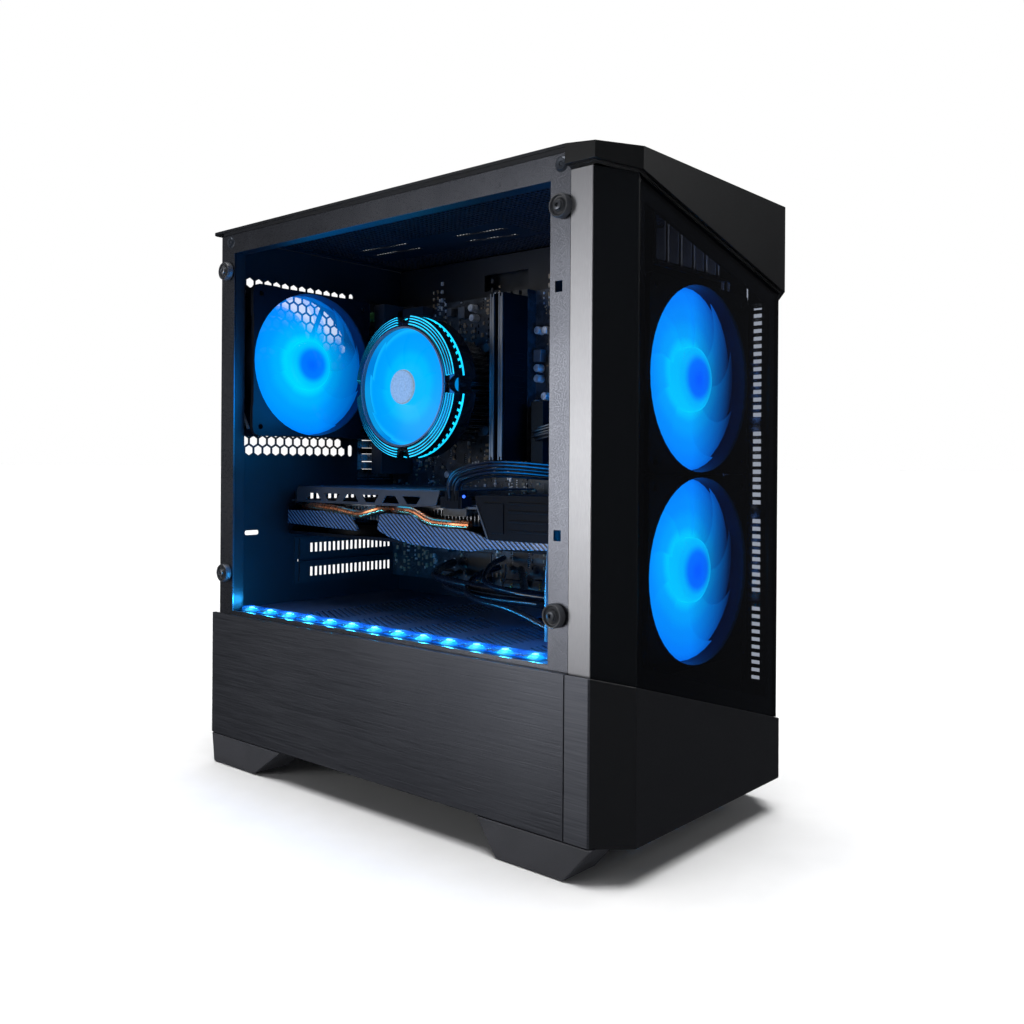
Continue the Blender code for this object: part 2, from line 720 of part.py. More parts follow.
def blade_mesh(builder, count, hub, tip, front, back, sweep, turn):
    """Swept, pitched blades about +Z: each is a thin closed slab between the hub and the tip."""
    spans, thickness = 3, 1.4
    for index in range(count):
        base = math.tau * index / count
        rings = []
        for step in range(spans + 1):
            share = step / spans
            radius = hub - 1.5 + (tip - hub + 1.5) * share
            middle = base + sweep * share * share
            spread = (turn * (0.62 + 0.38 * share)) / 2
            corners = []
            for side, height in ((-1, front), (1, back)):
                for lift in (-thickness / 2, thickness / 2):
                    angle = middle + side * spread
                    corners.append(Vector((
                        radius * math.cos(angle), radius * math.sin(angle), height + lift,
                    )) * MM)
            rings.append([builder.verts.new(corner) for corner in corners])
        for inner, outer in zip(rings, rings[1:]):
            for a, b in ((0, 1), (1, 3), (3, 2), (2, 0)):
                builder.faces.new((inner[a], inner[b], outer[b], outer[a]))
        builder.faces.new([rings[0][i] for i in (0, 2, 3, 1)])
        builder.faces.new([rings[-1][i] for i in (0, 1, 3, 2)])
    bmesh.ops.recalc_face_normals(builder, faces=builder.faces)


def rotor(name, centre, axis, hub_radius, tip_radius, depth, count, sweep=0.35, hub_sides=20):
    """A hub and its blades, with the object's origin on the shaft's axis."""
    half = depth / 2
    hub = from_builder(
        name, lambda builder: cylinder_into(builder, (0, 0, 0), "z", hub_radius, depth, hub_sides)
    )
    blades = from_builder(
        name + "_blades",
        lambda builder: blade_mesh(
            builder, count, hub_radius, tip_radius, half - 2.0, -half + 2.0, sweep,
            math.tau / count * 0.8,
        ),
        helper=True,
    )
    place = Matrix.Translation(Vector(centre) * MM) @ AXIS_TURN[axis]
    hub.matrix_world = place
    blades.matrix_world = place
    join(hub, blades)
    finish(hub, FAN_BLUE)


def case_fans():
    for where, height in FRONT_FAN_HEIGHTS.items():
        front_y = FRONT_FAN_BACK - FAN_DEPTH
        fan_frame(f"front_{where}_fan_frame", (0.0, height), front_y)
        rotor(f"front_{where}_fan_rotor", (0.0, front_y + 11.5, height), "y", 19.0, 55.0, 19.0, 9)
    fan_frame("rear_fan_frame", REAR_FAN, REAR_FAN_FRONT)
    rotor(
        "rear_fan_rotor", (REAR_FAN[0], REAR_FAN_FRONT + 11.5, REAR_FAN[1]), "y", 19.0, 55.0, 19.0, 9
    )


# ---------------------------------------------------------------- processor cooler

def cooler():
    y, z = COOLER_CENTRE
    fins = 20
    core, tip = 20.0, 44.0
    outline = []
    for index in range(fins):
        for share, radius in ((0.30, core), (0.34, tip), (0.66, tip), (0.70, core)):
            angle = math.tau * (index + share) / fins
            outline.append((y + radius * math.cos(angle), z + radius * math.sin(angle)))
    sink = prism("cooler_heatsink", outline, "x", 32.0, 66.0)
    join_boxes(sink, [((65.0, y - core, z - core), (73.0, y + core, z + core))])
    finish(sink, ALUMINIUM)

    ring = cylinders("cooler_light_ring", [((15.0, y, z), "x", COOLER_RADIUS, 30.0, 40)])
    cut_rods(ring, [((15.0, y, z), "x", 48.0, 40.0, 36)])
    join_boxes(ring, [
        ((27.0, y - 50, z - 2.0), (30.0, y + 50, z + 2.0)),
        ((27.0, y - 2.0, z - 50), (30.0, y + 2.0, z + 50)),
    ])
    join_rods(ring, [((28.5, y, z), "x", 16.0, 3.0, 16)])
    finish(ring, BLACK_PLASTIC)
    rotor("cooler_rotor", (15.0, y, z), "x", 16.0, 46.0, 22.0, 7, hub_sides=18)


# ---------------------------------------------------------------- main board

def motherboard():
    """The laminate with the parts that are soldered to it."""
    face = BOARD_X
    board = boxes("motherboard", [
        ((face, BOARD_Y[0], BOARD_Z[0]), (face + BOARD_THICKNESS, BOARD_Y[1], BOARD_Z[1])),
    ])
    inside = face + 0.5
    soldered = [
        ((71.0, 44.0, 200.4), (inside, 134.0, 208.0)),
        ((71.0, 104.0, 159.0), (inside, 134.0, 166.6)),
        ((68.0, -13.0, 232.0), (inside, -2.0, 285.0)),
        ((77.5, 58.0, 267.0), (inside, 118.0, 327.0)),
    ]
    for middle in MEMORY_Y:
        soldered.append(
            ((70.0, middle - 3.4, MEMORY_Z[0] - 6.0), (inside, middle + 3.4, MEMORY_Z[1] + 3.0))
        )
    join_boxes(board, soldered)
    grooves = [
        ((60.0, middle - 1.2, MEMORY_Z[0] - 0.6), (77.5, middle + 1.2, MEMORY_Z[1] + 0.6))
        for middle in MEMORY_Y
    ]
    grooves.append(((60.0, 46.0, 203.0), (77.0, 132.0, 205.4)))
    cut_boxes(board, grooves)
    finish(board, BOARD_LAMINATE)


def processor():
    y, z = COOLER_CENTRE
    chip = boxes("processor", [((75.3, y - 20, z - 20), (77.2, y + 20, z + 20))])
    join_boxes(chip, [((73.3, y - 15, z - 15), (75.6, y + 15, z + 15))])
    finish(chip, STEEL)


def rear_ports():
    ports = boxes("rear_ports", [((40.0, 160.0, 226.0), (BOARD_X - GAP, 188.0, 240.0 - 0.5))])
    join_boxes(ports, [
        ((60.0, 160.0, 239.0), (BOARD_X - GAP, 186.0, 376.0)),
        ((46.0, 160.0, 250.0), (BOARD_X - GAP, 188.0, 275.0)),
        ((50.0, 160.0, 290.0), (BOARD_X - GAP, 188.0, 318.0)),
        ((42.0, 160.0, 328.0), (BOARD_X - GAP, 188.0, 362.0)),
    ])
    cut_boxes(ports, [
        ((50.0, 180.0, 254.0), (76.0, 195.0, 271.0)),
        ((54.0, 180.0, 294.0), (76.0, 195.0, 314.0)),
        ((46.0, 180.0, 332.0), (76.0, 195.0, 358.0)),
    ])
    finish(ports, STEEL)


def memory_sticks():
    for number, middle in enumerate(MEMORY_Y, start=1):
        stick = boxes(f"memory_stick_{number}", [
            ((MEMORY_EDGE_X, middle - 3.0, MEMORY_Z[0]), (68.5, middle + 3.0, MEMORY_Z[1])),
        ])
        join_boxes(stick, [
            ((68.0, middle - 0.7, MEMORY_Z[0]), (77.0, middle + 0.7, MEMORY_Z[1])),
        ])
        finish(stick, BLACK_PLASTIC)


def solid_state_drive():
    back = TRAY_X + SHEET + GAP
    drive = boxes("solid_state_drive", [((back, -20.0, 130.0), (back + 7.1, 80.0, 200.0))])
    finish(drive, CARD_METAL)


# ---------------------------------------------------------------- graphics card

CARD_TOP = SLOT_HEIGHTS[0]
CARD_OUTER_X = -40.0
CARD_ROTORS = {"rear": 118.0, "front": 12.0}


def graphics_card():
    board = boxes("gpu_board", [
        ((-37.5, -60.0, CARD_TOP - 0.6), (69.5, CARD_REAR - 2.0, CARD_TOP + 1.0)),
    ])
    join_boxes(board, [((68.5, 48.0, CARD_TOP - 0.6), (76.5, 130.0, CARD_TOP + 1.0))])
    join_boxes(board, [((-37.0, -20.0, CARD_TOP - 6.0), (-30.6, 3.0, CARD_TOP + 0.5))])
    finish(board, BOARD_LAMINATE)

    plate = boxes("gpu_backplate", [((CARD_OUTER_X, 4.0, 212.0), (66.0, 180.0, 213.2))])
    join_boxes(plate, [((CARD_OUTER_X, 6.0, 199.0), (CARD_OUTER_X + 1.2, 180.0, 213.2))])
    cut_boxes(plate, [
        ((CARD_OUTER_X - 5, start, 201.5), (CARD_OUTER_X + 5, start + 22.0, 209.0))
        for start in (22.0, 60.0, 98.0, 136.0)
    ])
    finish(plate, CARD_METAL)

    sink = boxes("gpu_heatsink", [((-30.0, -50.0, 190.0), (60.0, 172.0, 202.0))])
    cut_boxes(sink, [
        ((-40.0, start, 180.0), (70.0, start + 5.0, 198.0)) for start in range(-42, 168, 12)
    ])
    finish(sink, ALUMINIUM)

    pipe = tube("gpu_heat_pipe", [
        (-34.0, 128.0, 198.3), (-34.5, 100.0, 198.0), (-34.5, 60.0, 196.0), (-34.5, 30.0, 198.0),
        (-34.5, 0.0, 193.5), (-34.0, -24.0, 193.0),
    ], 2.9, 2)
    finish(pipe, COPPER)

    shroud = boxes("gpu_shroud", [((CARD_OUTER_X - 0.6, CARD_FRONT, 176.0), (66.0, 180.0, 189.4))])
    cut_boxes(shroud, [
        ((CARD_OUTER_X + 1.4, CARD_FRONT + 2.0, 179.0), (64.0, 178.0, 195.0)),
        ((CARD_OUTER_X - 5, 36.0, 183.0), (CARD_OUTER_X + 5, 66.0, 195.0)),
    ])
    cut_rods(shroud, [((13.0, y, 176.0), "z", 46.5, 20.0, 28) for y in CARD_ROTORS.values()])
    join_boxes(shroud, [
        ((CARD_OUTER_X - 0.6, CARD_FRONT, 186.0), (CARD_OUTER_X + 1.4, -32.0, 213.0)),
        ((CARD_OUTER_X - 0.6, CARD_FRONT, 210.0), (56.0, -64.0, 213.0)),
        ((CARD_OUTER_X - 0.6, CARD_FRONT, 178.0), (66.0, CARD_FRONT + 2.0, 213.0)),
    ])
    join_rods(shroud, [((13.0, y, 187.2), "z", 16.0, 2.4, 16) for y in CARD_ROTORS.values()])
    join(shroud, boxes("gpu_shroud_rail", [
        ((11.5, CARD_FRONT + 1.0, 186.0), (14.5, 179.0, 188.4)),
    ], helper=True))
    finish(shroud, CARD_PLASTIC)
    for where, y in CARD_ROTORS.items():
        rotor(f"gpu_{where}_rotor", (13.0, y, 180.2), "z", 15.0, 44.5, 9.0, 9, hub_sides=16)

    bracket = boxes("gpu_bracket", [((-31.0, 183.2, 176.5), (79.0, 184.2, 212.0))])
    cut_boxes(bracket, [((x, 175.0, 196.0), (x + 12.0, 190.0, 206.0)) for x in (0.0, 20.0, 40.0)])
    finish(bracket, STEEL)


def slot_covers():
    for number, height in enumerate(SLOT_HEIGHTS[2:], start=1):
        cover = boxes(f"slot_cover_{number}", [((-31.0, 184.2, height - 9.2), (82.0, 185.2, height + 9.2))])
        cut_boxes(cover, [((-12.0, 175.0, height - 3.0), (76.0, 195.0, height - 1.0))])
        finish(cover, BLACK_STEEL)


# ---------------------------------------------------------------- power supply

def power_supply():
    wall = 1.2
    low = (PSU_X[0], PSU_Y[0], PSU_Z[0])
    high = (PSU_X[1], PSU_Y[1], PSU_Z[1])
    case = boxes("psu_case", [(low, high)])
    inlet_low, inlet_high = (PSU_X[1] - 38.2, PSU_Z[1] - 34.2), (PSU_X[1] - 9.8, PSU_Z[1] - 9.8)
    switch_low, switch_high = (PSU_X[1] - 34.4, PSU_Z[1] - 62.4), (PSU_X[1] - 13.6, PSU_Z[1] - 47.6)
    cut_boxes(case, [
        (tuple(value + wall for value in low), tuple(value - wall for value in high)),
    ])
    cut_rods(case, [
        ((*PSU_FAN_CENTRE, PSU_Z[0]), "z", PSU_FAN_RADIUS, 8.0, 32),
    ])
    cut(case, boxes("psu_case_rear_holes", [
        ((PSU_X[0] + 6, PSU_Y[1] - 6, PSU_Z[0] + 34), (PSU_X[1] - 46, PSU_Y[1] + 6, PSU_Z[1] - 8)),
        ((inlet_low[0], PSU_Y[1] - 6, inlet_low[1]), (inlet_high[0], PSU_Y[1] + 6, inlet_high[1])),
        ((switch_low[0], PSU_Y[1] - 6, switch_low[1]), (switch_high[0], PSU_Y[1] + 6, switch_high[1])),
        ((20.0, PSU_Y[0] - 6, 50.0), (60.0, PSU_Y[0] + 6, 80.0)),
    ], helper=True))
    bar, reach = 3.0, PSU_FAN_RADIUS + 3.0
    x, y = PSU_FAN_CENTRE
    join_boxes(case, [
        ((x - bar / 2, y - reach, PSU_Z[0]), (x + bar / 2, y + reach, PSU_Z[0] + wall)),
        ((x - reach, y - bar / 2, PSU_Z[0]), (x + reach, y + bar / 2, PSU_Z[0] + wall)),
    ])
    finish(case, BLACK_STEEL)
    rotor("psu_rotor", (x, y, PSU_Z[0] + 14.0), "z", 17.0, 53.0, 16.0, 7, hub_sides=16)

    inlet = boxes("psu_inlet", [
        ((PSU_X[1] - 38.0, PSU_Y[1] - 22, PSU_Z[1] - 34.0),
         (PSU_X[1] - 10.0, PSU_Y[1] + 1.5, PSU_Z[1] - 10.0)),
    ])
    cut_boxes(inlet, [
        ((PSU_X[1] - 36.0, PSU_Y[1] - 16, PSU_Z[1] - 31.0),
         (PSU_X[1] - 12.0, PSU_Y[1] + 6, PSU_Z[1] - 13.0)),
    ])
    join_boxes(inlet, [
        ((PSU_X[1] - 24.0 + shift - 1.0, PSU_Y[1] - 18, PSU_Z[1] - 22 - 3.0 + lift),
         (PSU_X[1] - 24.0 + shift + 1.0, PSU_Y[1] - 6, PSU_Z[1] - 22 + 3.0 + lift))
        for shift, lift in ((-7.0, 2.0), (0.0, -2.0), (7.0, 2.0))
    ])
    finish(inlet, BLACK_PLASTIC)

    middle_z = PSU_Z[1] - 55.0
    outline = [
        (PSU_Y[1] - 9.0, middle_z - 5.0), (PSU_Y[1] + 2.6, middle_z - 6.4),
        (PSU_Y[1] + 0.6, middle_z), (PSU_Y[1] + 0.8, middle_z + 6.4), (PSU_Y[1] - 9.0, middle_z + 5.0),
    ]
    rocker = prism("psu_switch", outline, "x", PSU_X[1] - 34.0, PSU_X[1] - 14.0)
    finish(rocker, BLACK_PLASTIC, origin=(PSU_X[1] - 24.0, PSU_Y[1] - 0.6, middle_z))


# ---------------------------------------------------------------- cables

def cables():
    main = tube("main_power_cable", [
        (40.0, 52.0, 65.0), (40.0, 24.0, 65.0), (60.0, -4.0, 66.0), (81.0, -20.0, 72.0),
        (95.0, -36.0, 84.0), (95.4, -62.0, 120.0), (95.4, -80.0, 180.0), (94.0, -82.0, 232.0),
        (84.0, -80.0, 256.0), (68.0, -66.0, 266.0), (54.0, -42.0, 265.0), (50.0, -18.0, 260.0),
        (56.0, -8.5, 258.5), (67.6, -7.5, 258.5),
    ], 4.6, 3)
    finish(main, WIRE_SLEEVE)
    card = tube("gpu_power_cable", [
        (-28.5, -8.5, 206.0), (-29.5, -8.5, 214.0), (-28.0, -14.0, 223.0), (-14.0, -30.0, 228.5),
        (14.0, -46.0, 228.0), (46.0, -60.0, 226.0), (70.0, -76.0, 214.0), (77.0, -88.0, 190.0),
        (76.0, -96.0, 150.0), (72.0, -98.0, 116.0), (60.0, -88.0, 92.0), (40.0, -40.0, 80.0),
        (30.0, 14.0, 72.0), (30.0, 52.0, 70.0),
    ], 5.0, 3)
    finish(card, WIRE_SLEEVE)


def build():
    base_pan()
    rear_panel()
    side_frame()
    motherboard_tray()
    front_wall()
    top_panel()
    psu_shroud()
    lower_side_cover()
    light_strip()
    feet()
    glass_posts()
    right_side_panel()
    thumbscrews()
    top_dust_filter()
    psu_dust_filter()
    bezel_base()
    bezel_frame()
    front_glass()
    bezel_cap()
    front_ports()
    bezel_button("power_button", POWER_BUTTON, 6.0)
    bezel_button("reset_button", RESET_BUTTON, 3.5)
    case_fans()
    cooler()
    motherboard()
    processor()
    rear_ports()
    memory_sticks()
    solid_state_drive()
    graphics_card()
    slot_covers()
    power_supply()
    cables()
    hang_on("front_bezel_track", (0.0, BEZEL_BACK, 200.0), [
        "bezel_base", "bezel_frame", "front_glass", "bezel_cap", "front_ports",
        "power_button", "reset_button",
    ])
    hang_on("right_panel_track", (CHASSIS_HALF, CHASSIS_REAR, 210.0), [
        "right_side_panel", "thumbscrew_lower", "thumbscrew_upper",
    ])
    hang_on("top_filter_track", (0.0, 0.0, TOP_HEIGHT), ["top_dust_filter"])
    hang_on("psu_filter_track", (5.0, PLINTH_REAR, 20.0), ["psu_dust_filter"])


build()
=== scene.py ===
"""Looks of the desktop computer tower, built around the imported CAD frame.

Lengths are in millimetres in the row frame (+Z up, bezel towards -Y, window towards -X);
every piece is turned into metres when it is made.
"""

import json
import math
import random

import bmesh
import bpy
from mathutils import Matrix, Vector

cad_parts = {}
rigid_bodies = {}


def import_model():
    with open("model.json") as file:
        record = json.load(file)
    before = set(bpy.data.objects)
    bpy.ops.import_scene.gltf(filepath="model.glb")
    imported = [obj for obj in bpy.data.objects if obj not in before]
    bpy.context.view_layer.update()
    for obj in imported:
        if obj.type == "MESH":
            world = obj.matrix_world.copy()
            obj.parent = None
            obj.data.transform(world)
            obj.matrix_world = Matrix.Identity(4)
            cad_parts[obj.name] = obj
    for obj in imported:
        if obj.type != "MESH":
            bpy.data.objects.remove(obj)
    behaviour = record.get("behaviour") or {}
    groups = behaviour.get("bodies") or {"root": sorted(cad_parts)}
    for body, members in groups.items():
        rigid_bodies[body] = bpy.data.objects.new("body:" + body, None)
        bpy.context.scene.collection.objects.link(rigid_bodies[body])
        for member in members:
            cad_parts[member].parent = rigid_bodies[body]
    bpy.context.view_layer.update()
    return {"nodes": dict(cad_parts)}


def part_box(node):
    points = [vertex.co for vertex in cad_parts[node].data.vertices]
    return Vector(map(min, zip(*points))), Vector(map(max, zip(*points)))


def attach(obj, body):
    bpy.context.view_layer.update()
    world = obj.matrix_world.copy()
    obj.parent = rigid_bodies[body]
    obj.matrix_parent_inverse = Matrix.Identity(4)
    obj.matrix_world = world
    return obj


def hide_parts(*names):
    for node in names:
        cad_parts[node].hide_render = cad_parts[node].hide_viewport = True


for item in list(bpy.data.objects):
    bpy.data.objects.remove(item, do_unlink=True)

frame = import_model()

MM = 0.001
SHEET = 1
JOIN = 1e-4
RELIEF_DEPTH = 0.0002
HEX_ROW = 0.866


def corners(node):
    """Lowest and highest corner of a CAD node, in millimetres."""
    low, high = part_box(node)
    return low / MM, high / MM


# ---------------------------------------------------------------- shapes

AXES = {
    "x": (Vector((0, 1, 0)), Vector((0, 0, 1)), Vector((1, 0, 0))),
    "y": (Vector((1, 0, 0)), Vector((0, 0, 1)), Vector((0, 1, 0))),
    "z": (Vector((1, 0, 0)), Vector((0, 1, 0)), Vector((0, 0, 1))),
}


def along(axis, centre=(0, 0, 0)):
    """Matrix that lays a shape's own z along one row axis, through a centre."""
    return Matrix.Translation(centre) @ Matrix(AXES[axis]).transposed().to_4x4()


def box(form, low, high):
    low, high = Vector(low), Vector(high)
    size = Matrix.Diagonal((*(high - low), 1))
    bmesh.ops.create_cube(form, size=1, matrix=Matrix.Translation((low + high) / 2) @ size)


def rod(form, centre, axis, radius, length, sides=20):
    bmesh.ops.create_cone(
        form, cap_ends=True, segments=sides, radius1=radius, radius2=radius, depth=length,
        matrix=along(axis, centre),
    )


def pour(source, form):
    """Move one form into another, without joining their points."""
    mesh = bpy.data.meshes.new("poured")
    source.to_mesh(mesh)
    source.free()
    form.from_mesh(mesh)
    bpy.data.meshes.remove(mesh)


def loft(form, rings):
    """Quads between neighbouring rings of points, closed at both ends."""
    made = [[form.verts.new(point) for point in ring] for ring in rings]
    count = len(made[0])
    for first, second in zip(made, made[1:]):
        for index in range(count):
            after = (index + 1) % count
            form.faces.new((first[index], first[after], second[after], second[index]))
    form.faces.new(made[0])
    form.faces.new(list(reversed(made[-1])))


def spun(place, profile, angle):
    """A profile of (radius, height) pairs at one angle about a placed axis."""
    across, up = math.cos(angle), math.sin(angle)
    return [place @ Vector((radius * across, radius * up, height)) for radius, height in profile]


def turned(form, profile, centre, axis, sides=32):
    """A profile of (radius, height) pairs turned about an axis; radius 0 closes an end."""
    place = along(axis, centre)
    rings = [spun(place, profile, math.tau * step / sides) for step in range(sides)]
    made = [[form.verts.new(point) for point in ring] for ring in rings]
    for first, second in zip(made, made[1:] + made[:1]):
        for index in range(len(profile) - 1):
            form.faces.new((first[index], first[index + 1], second[index + 1], second[index]))
    bmesh.ops.remove_doubles(form, verts=[v for ring in made for v in ring], dist=JOIN)


def hoop(form, inner, outer, low, high, centre, axis, sides=48):
    """A ring with a square section."""
    section = [(inner, low), (outer, low), (outer, high), (inner, high), (inner, low)]
    turned(form, section, centre, axis, sides)


def drum(form, radius, low, high, centre, axis, sides=32):
    turned(form, [(0, low), (radius, low), (radius, high), (0, high)], centre, axis, sides)


def arc(form, inner, outer, low, high, start, end, steps, centre, axis):
    """A closed ring segment between two angles, in degrees."""
    place = along(axis, centre)
    section = ((inner, low), (outer, low), (outer, high), (inner, high))
    angles = [math.radians(start + (end - start) * step / steps) for step in range(steps + 1)]
    loft(form, [spun(place, section, angle) for angle in angles])


def bar(form, centre, axis, angle, near, far, low, high):
    """A straight bar that points outward at an angle: near and far are (reach, side, other side)."""
    turn = Matrix.Rotation(math.radians(angle), 4, AXES[axis][2])
    place = Matrix.Translation(centre) @ turn @ along(axis)
    rings = []
    for reach, one, other in (near, far):
        section = ((one, low), (other, low), (other, high), (one, high))
        rings.append([place @ Vector((reach, *point)) for point in section])
    loft(form, rings)


def plate(form, outline, holes, axis, low, high):
    """A flat sheet with holes: outlines are (y, z), (x, z) or (x, y) for axis x, y or z."""
    curve = bpy.data.curves.new("sheet", "CURVE")
    curve.dimensions = "2D"
    curve.fill_mode = "BOTH"
    curve.extrude = abs(high - low) / 2
    for loop in [outline, *holes]:
        spline = curve.splines.new("POLY")
        spline.points.add(len(loop) - 1)
        for point, place in zip(spline.points, loop):
            point.co = (place[0], place[1], 0, 1)
        spline.use_cyclic_u = True
    flat = bpy.data.objects.new("sheet", curve)
    bpy.context.scene.collection.objects.link(flat)
    bpy.context.view_layer.update()
    mesh = bpy.data.meshes.new_from_object(flat.evaluated_get(bpy.context.evaluated_depsgraph_get()))
    mesh.transform(along(axis, AXES[axis][2] * ((low + high) / 2)))
    form.from_mesh(mesh)
    bpy.data.objects.remove(flat)
    bpy.data.meshes.remove(mesh)
    bmesh.ops.remove_doubles(form, verts=form.verts, dist=JOIN)


def smooth_route(points, per_span):
    """Points on a smooth curve through the given ones (Catmull-Rom)."""
    ends = [points[0], *points, points[-1]]
    route = []
    for index in range(len(points) - 1):
        a, b, c, d = (Vector(p) for p in ends[index:index + 4])
        for step in range(per_span):
            t = step / per_span
            bend = (2 * a - 5 * b + 4 * c - d) * t * t + (3 * b - a - 3 * c + d) * t ** 3
            route.append(0.5 * ((2 * b) + (c - a) * t + bend))
    route.append(Vector(points[-1]))
    return route


def turning_frames(route):
    """A side and an up direction at each point of a route, turned as little as possible."""
    last = len(route) - 1
    tangents = [(route[min(i + 1, last)] - route[max(i - 1, 0)]).normalized() for i in range(last + 1)]
    side = tangents[0].orthogonal().normalized()
    frames = []
    for tangent in tangents:
        side = (side - tangent * side.dot(tangent)).normalized()
        frames.append((side, tangent.cross(side)))
    return frames


def tube(form, points, radius, per_span=8, sides=14):
    """A closed tube along a smooth route."""
    route = smooth_route(points, per_span)
    angles = [math.tau * step / sides for step in range(sides)]
    loft(form, [
        [point + side * (radius * math.cos(angle)) + up * (radius * math.sin(angle)) for angle in angles]
        for point, (side, up) in zip(route, turning_frames(route))
    ])


def bundle(form, points, count, spread, radius, twist):
    """Separate wires that run side by side along one route, slowly twisting."""
    inner_share = 0.55
    route = smooth_route(points, 8)
    frames = turning_frames(route)
    for wire in range(count):
        path = []
        for index, (point, (side, up)) in enumerate(zip(route, frames)):
            angle = math.tau * (wire / count + twist * index / (len(route) - 1) / 4)
            reach = spread * (inner_share if wire % 2 else 1)
            path.append(point + side * (reach * math.cos(angle)) + up * (reach * math.sin(angle)))
        tube(form, path, radius, 1, 8)


def circle(centre, radius, count=32, start=0):
    angles = [start + math.tau * step / count for step in range(count)]
    return [(centre[0] + radius * math.cos(angle), centre[1] + radius * math.sin(angle)) for angle in angles]


def rectangle(low, high):
    return [(low[0], low[1]), (high[0], low[1]), (high[0], high[1]), (low[0], high[1])]


def rounded(low, high, radius, steps=4):
    """A rectangle with round corners."""
    points = []
    middles = [
        (high[0] - radius, high[1] - radius, 0), (low[0] + radius, high[1] - radius, 90),
        (low[0] + radius, low[1] + radius, 180), (high[0] - radius, low[1] + radius, 270),
    ]
    for x, y, start in middles:
        for step in range(steps + 1):
            angle = math.radians(start + 90 * step / steps)
            points.append((x + radius * math.cos(angle), y + radius * math.sin(angle)))
    return points


def hexagons(low, high, pitch, size, keep=None):
    """Hexagonal holes in a staggered field between two corners."""
    rise = pitch * HEX_ROW
    found = []
    for row in range(int((high[1] - low[1]) / rise) + 1):
        y = low[1] + row * rise
        x = low[0] + (pitch / 2 if row % 2 else 0)
        while x <= high[0]:
            if keep is None or keep(x, y):
                found.append(circle((x, y), size / 2, 6, math.radians(30)))
            x += pitch
    return found


def lattice(form, low, high, pitch, hole, level, thickness):
    """A fine square mesh in a plane of constant height: one square hole for each cell."""
    columns, rows = (max(1, round((high[i] - low[i]) / pitch)) for i in (0, 1))
    step_x, step_y = (high[0] - low[0]) / columns, (high[1] - low[1]) / rows
    part = bmesh.new()
    grid = [
        [part.verts.new((low[0] + column * step_x, low[1] + row * step_y, level)) for row in range(rows + 1)]
        for column in range(columns + 1)
    ]
    for near, far in zip(grid, grid[1:]):
        for row in range(rows):
            outer = (near[row], far[row], far[row + 1], near[row + 1])
            middle = sum((vert.co for vert in outer), Vector()) / 4
            inner = [
                part.verts.new(middle + Vector((hole / 2 * sx, hole / 2 * sy, 0)))
                for sx, sy in ((-1, -1), (1, -1), (1, 1), (-1, 1))
            ]
            for index in range(4):
                after = (index + 1) % 4
                part.faces.new((outer[index], outer[after], inner[after], inner[index]))
    shell = bmesh.ops.extrude_face_region(part, geom=list(part.faces), use_keep_orig=True)
    moved = [item for item in shell["geom"] if isinstance(item, bmesh.types.BMVert)]
    bmesh.ops.translate(part, verts=moved, vec=(0, 0, thickness))
    pour(part, form)


# ---------------------------------------------------------------- pieces

def link(obj):
    bpy.context.scene.collection.objects.link(obj)
    return obj


def dress(obj, material):
    obj.data.materials.clear()
    obj.data.materials.append(material)


def soften(obj, width):
    """A small rounded edge on a piece, after its flat faces are made whole."""
    obj.modifiers.new("weld", "WELD").merge_threshold = 1e-6
    flat = obj.modifiers.new("flat", "DECIMATE")
    flat.decimate_type = "DISSOLVE"
    flat.angle_limit = math.radians(1)
    edge = obj.modifiers.new("edge", "BEVEL")
    edge.width = width * MM
    edge.segments = 2
    edge.limit_method = "ANGLE"
    edge.angle_limit = math.radians(30)
    edge.harden_normals = True


def piece(name, form, material, body="chassis", smooth=35, edge=0, replaces=None):
    """Turn a form in millimetres into a piece that rides on a body."""
    bmesh.ops.recalc_face_normals(form, faces=form.faces)
    bmesh.ops.scale(form, vec=(MM, MM, MM), verts=form.verts)
    mesh = bpy.data.meshes.new(name)
    form.to_mesh(mesh)
    form.free()
    obj = link(bpy.data.objects.new(name, mesh))
    mesh.shade_smooth()
    mesh.set_sharp_from_angle(angle=math.radians(smooth))
    dress(obj, material)
    if edge:
        soften(obj, edge)
    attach(obj, body)
    if replaces:
        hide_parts(replaces)


# ---------------------------------------------------------------- materials

def tint(code):
    """A colour from its usual six-digit code, as linear values; other colours stay as they are."""
    if not isinstance(code, str):
        return code
    parts = (int(code[index:index + 2], 16) / 255 for index in (0, 2, 4))
    return tuple(v / 12.92 if v <= 0.04045 else ((v + 0.055) / 1.055) ** 2.4 for v in parts)


def graph(name, **values):
    """A new material with its node tree and its shader, whose named inputs are set."""
    material = bpy.data.materials.new(name)
    material.use_nodes = True
    shader = material.node_tree.nodes["Principled BSDF"]
    for key, value in values.items():
        shader.inputs[key.replace("_", " ")].default_value = value
    return material, material.node_tree, shader


def make(tree, kind, inputs=None, out=0, **settings):
    """An output of a new node; its inputs are values or other nodes' outputs."""
    node = tree.nodes.new("ShaderNode" + kind)
    for key, value in settings.items():
        setattr(node, key, value)
    for key, value in (inputs or {}).items():
        if isinstance(value, bpy.types.NodeSocket):
            tree.links.new(value, node.inputs[key])
        else:
            node.inputs[key].default_value = value
    return node.outputs[out]


def feed(tree, shader, **sources):
    """Link outputs to the shader's named inputs."""
    for key, source in sources.items():
        tree.links.new(source, shader.inputs[key.replace("_", " ")])


def mathed(tree, operation, first, second=0.5):
    return make(tree, "Math", {0: first, 1: second}, operation=operation)


def own_place(tree):
    return make(tree, "TexCoord", out="Object")


def split(tree, place, letter):
    return make(tree, "SeparateXYZ", {"Vector": place}, letter)


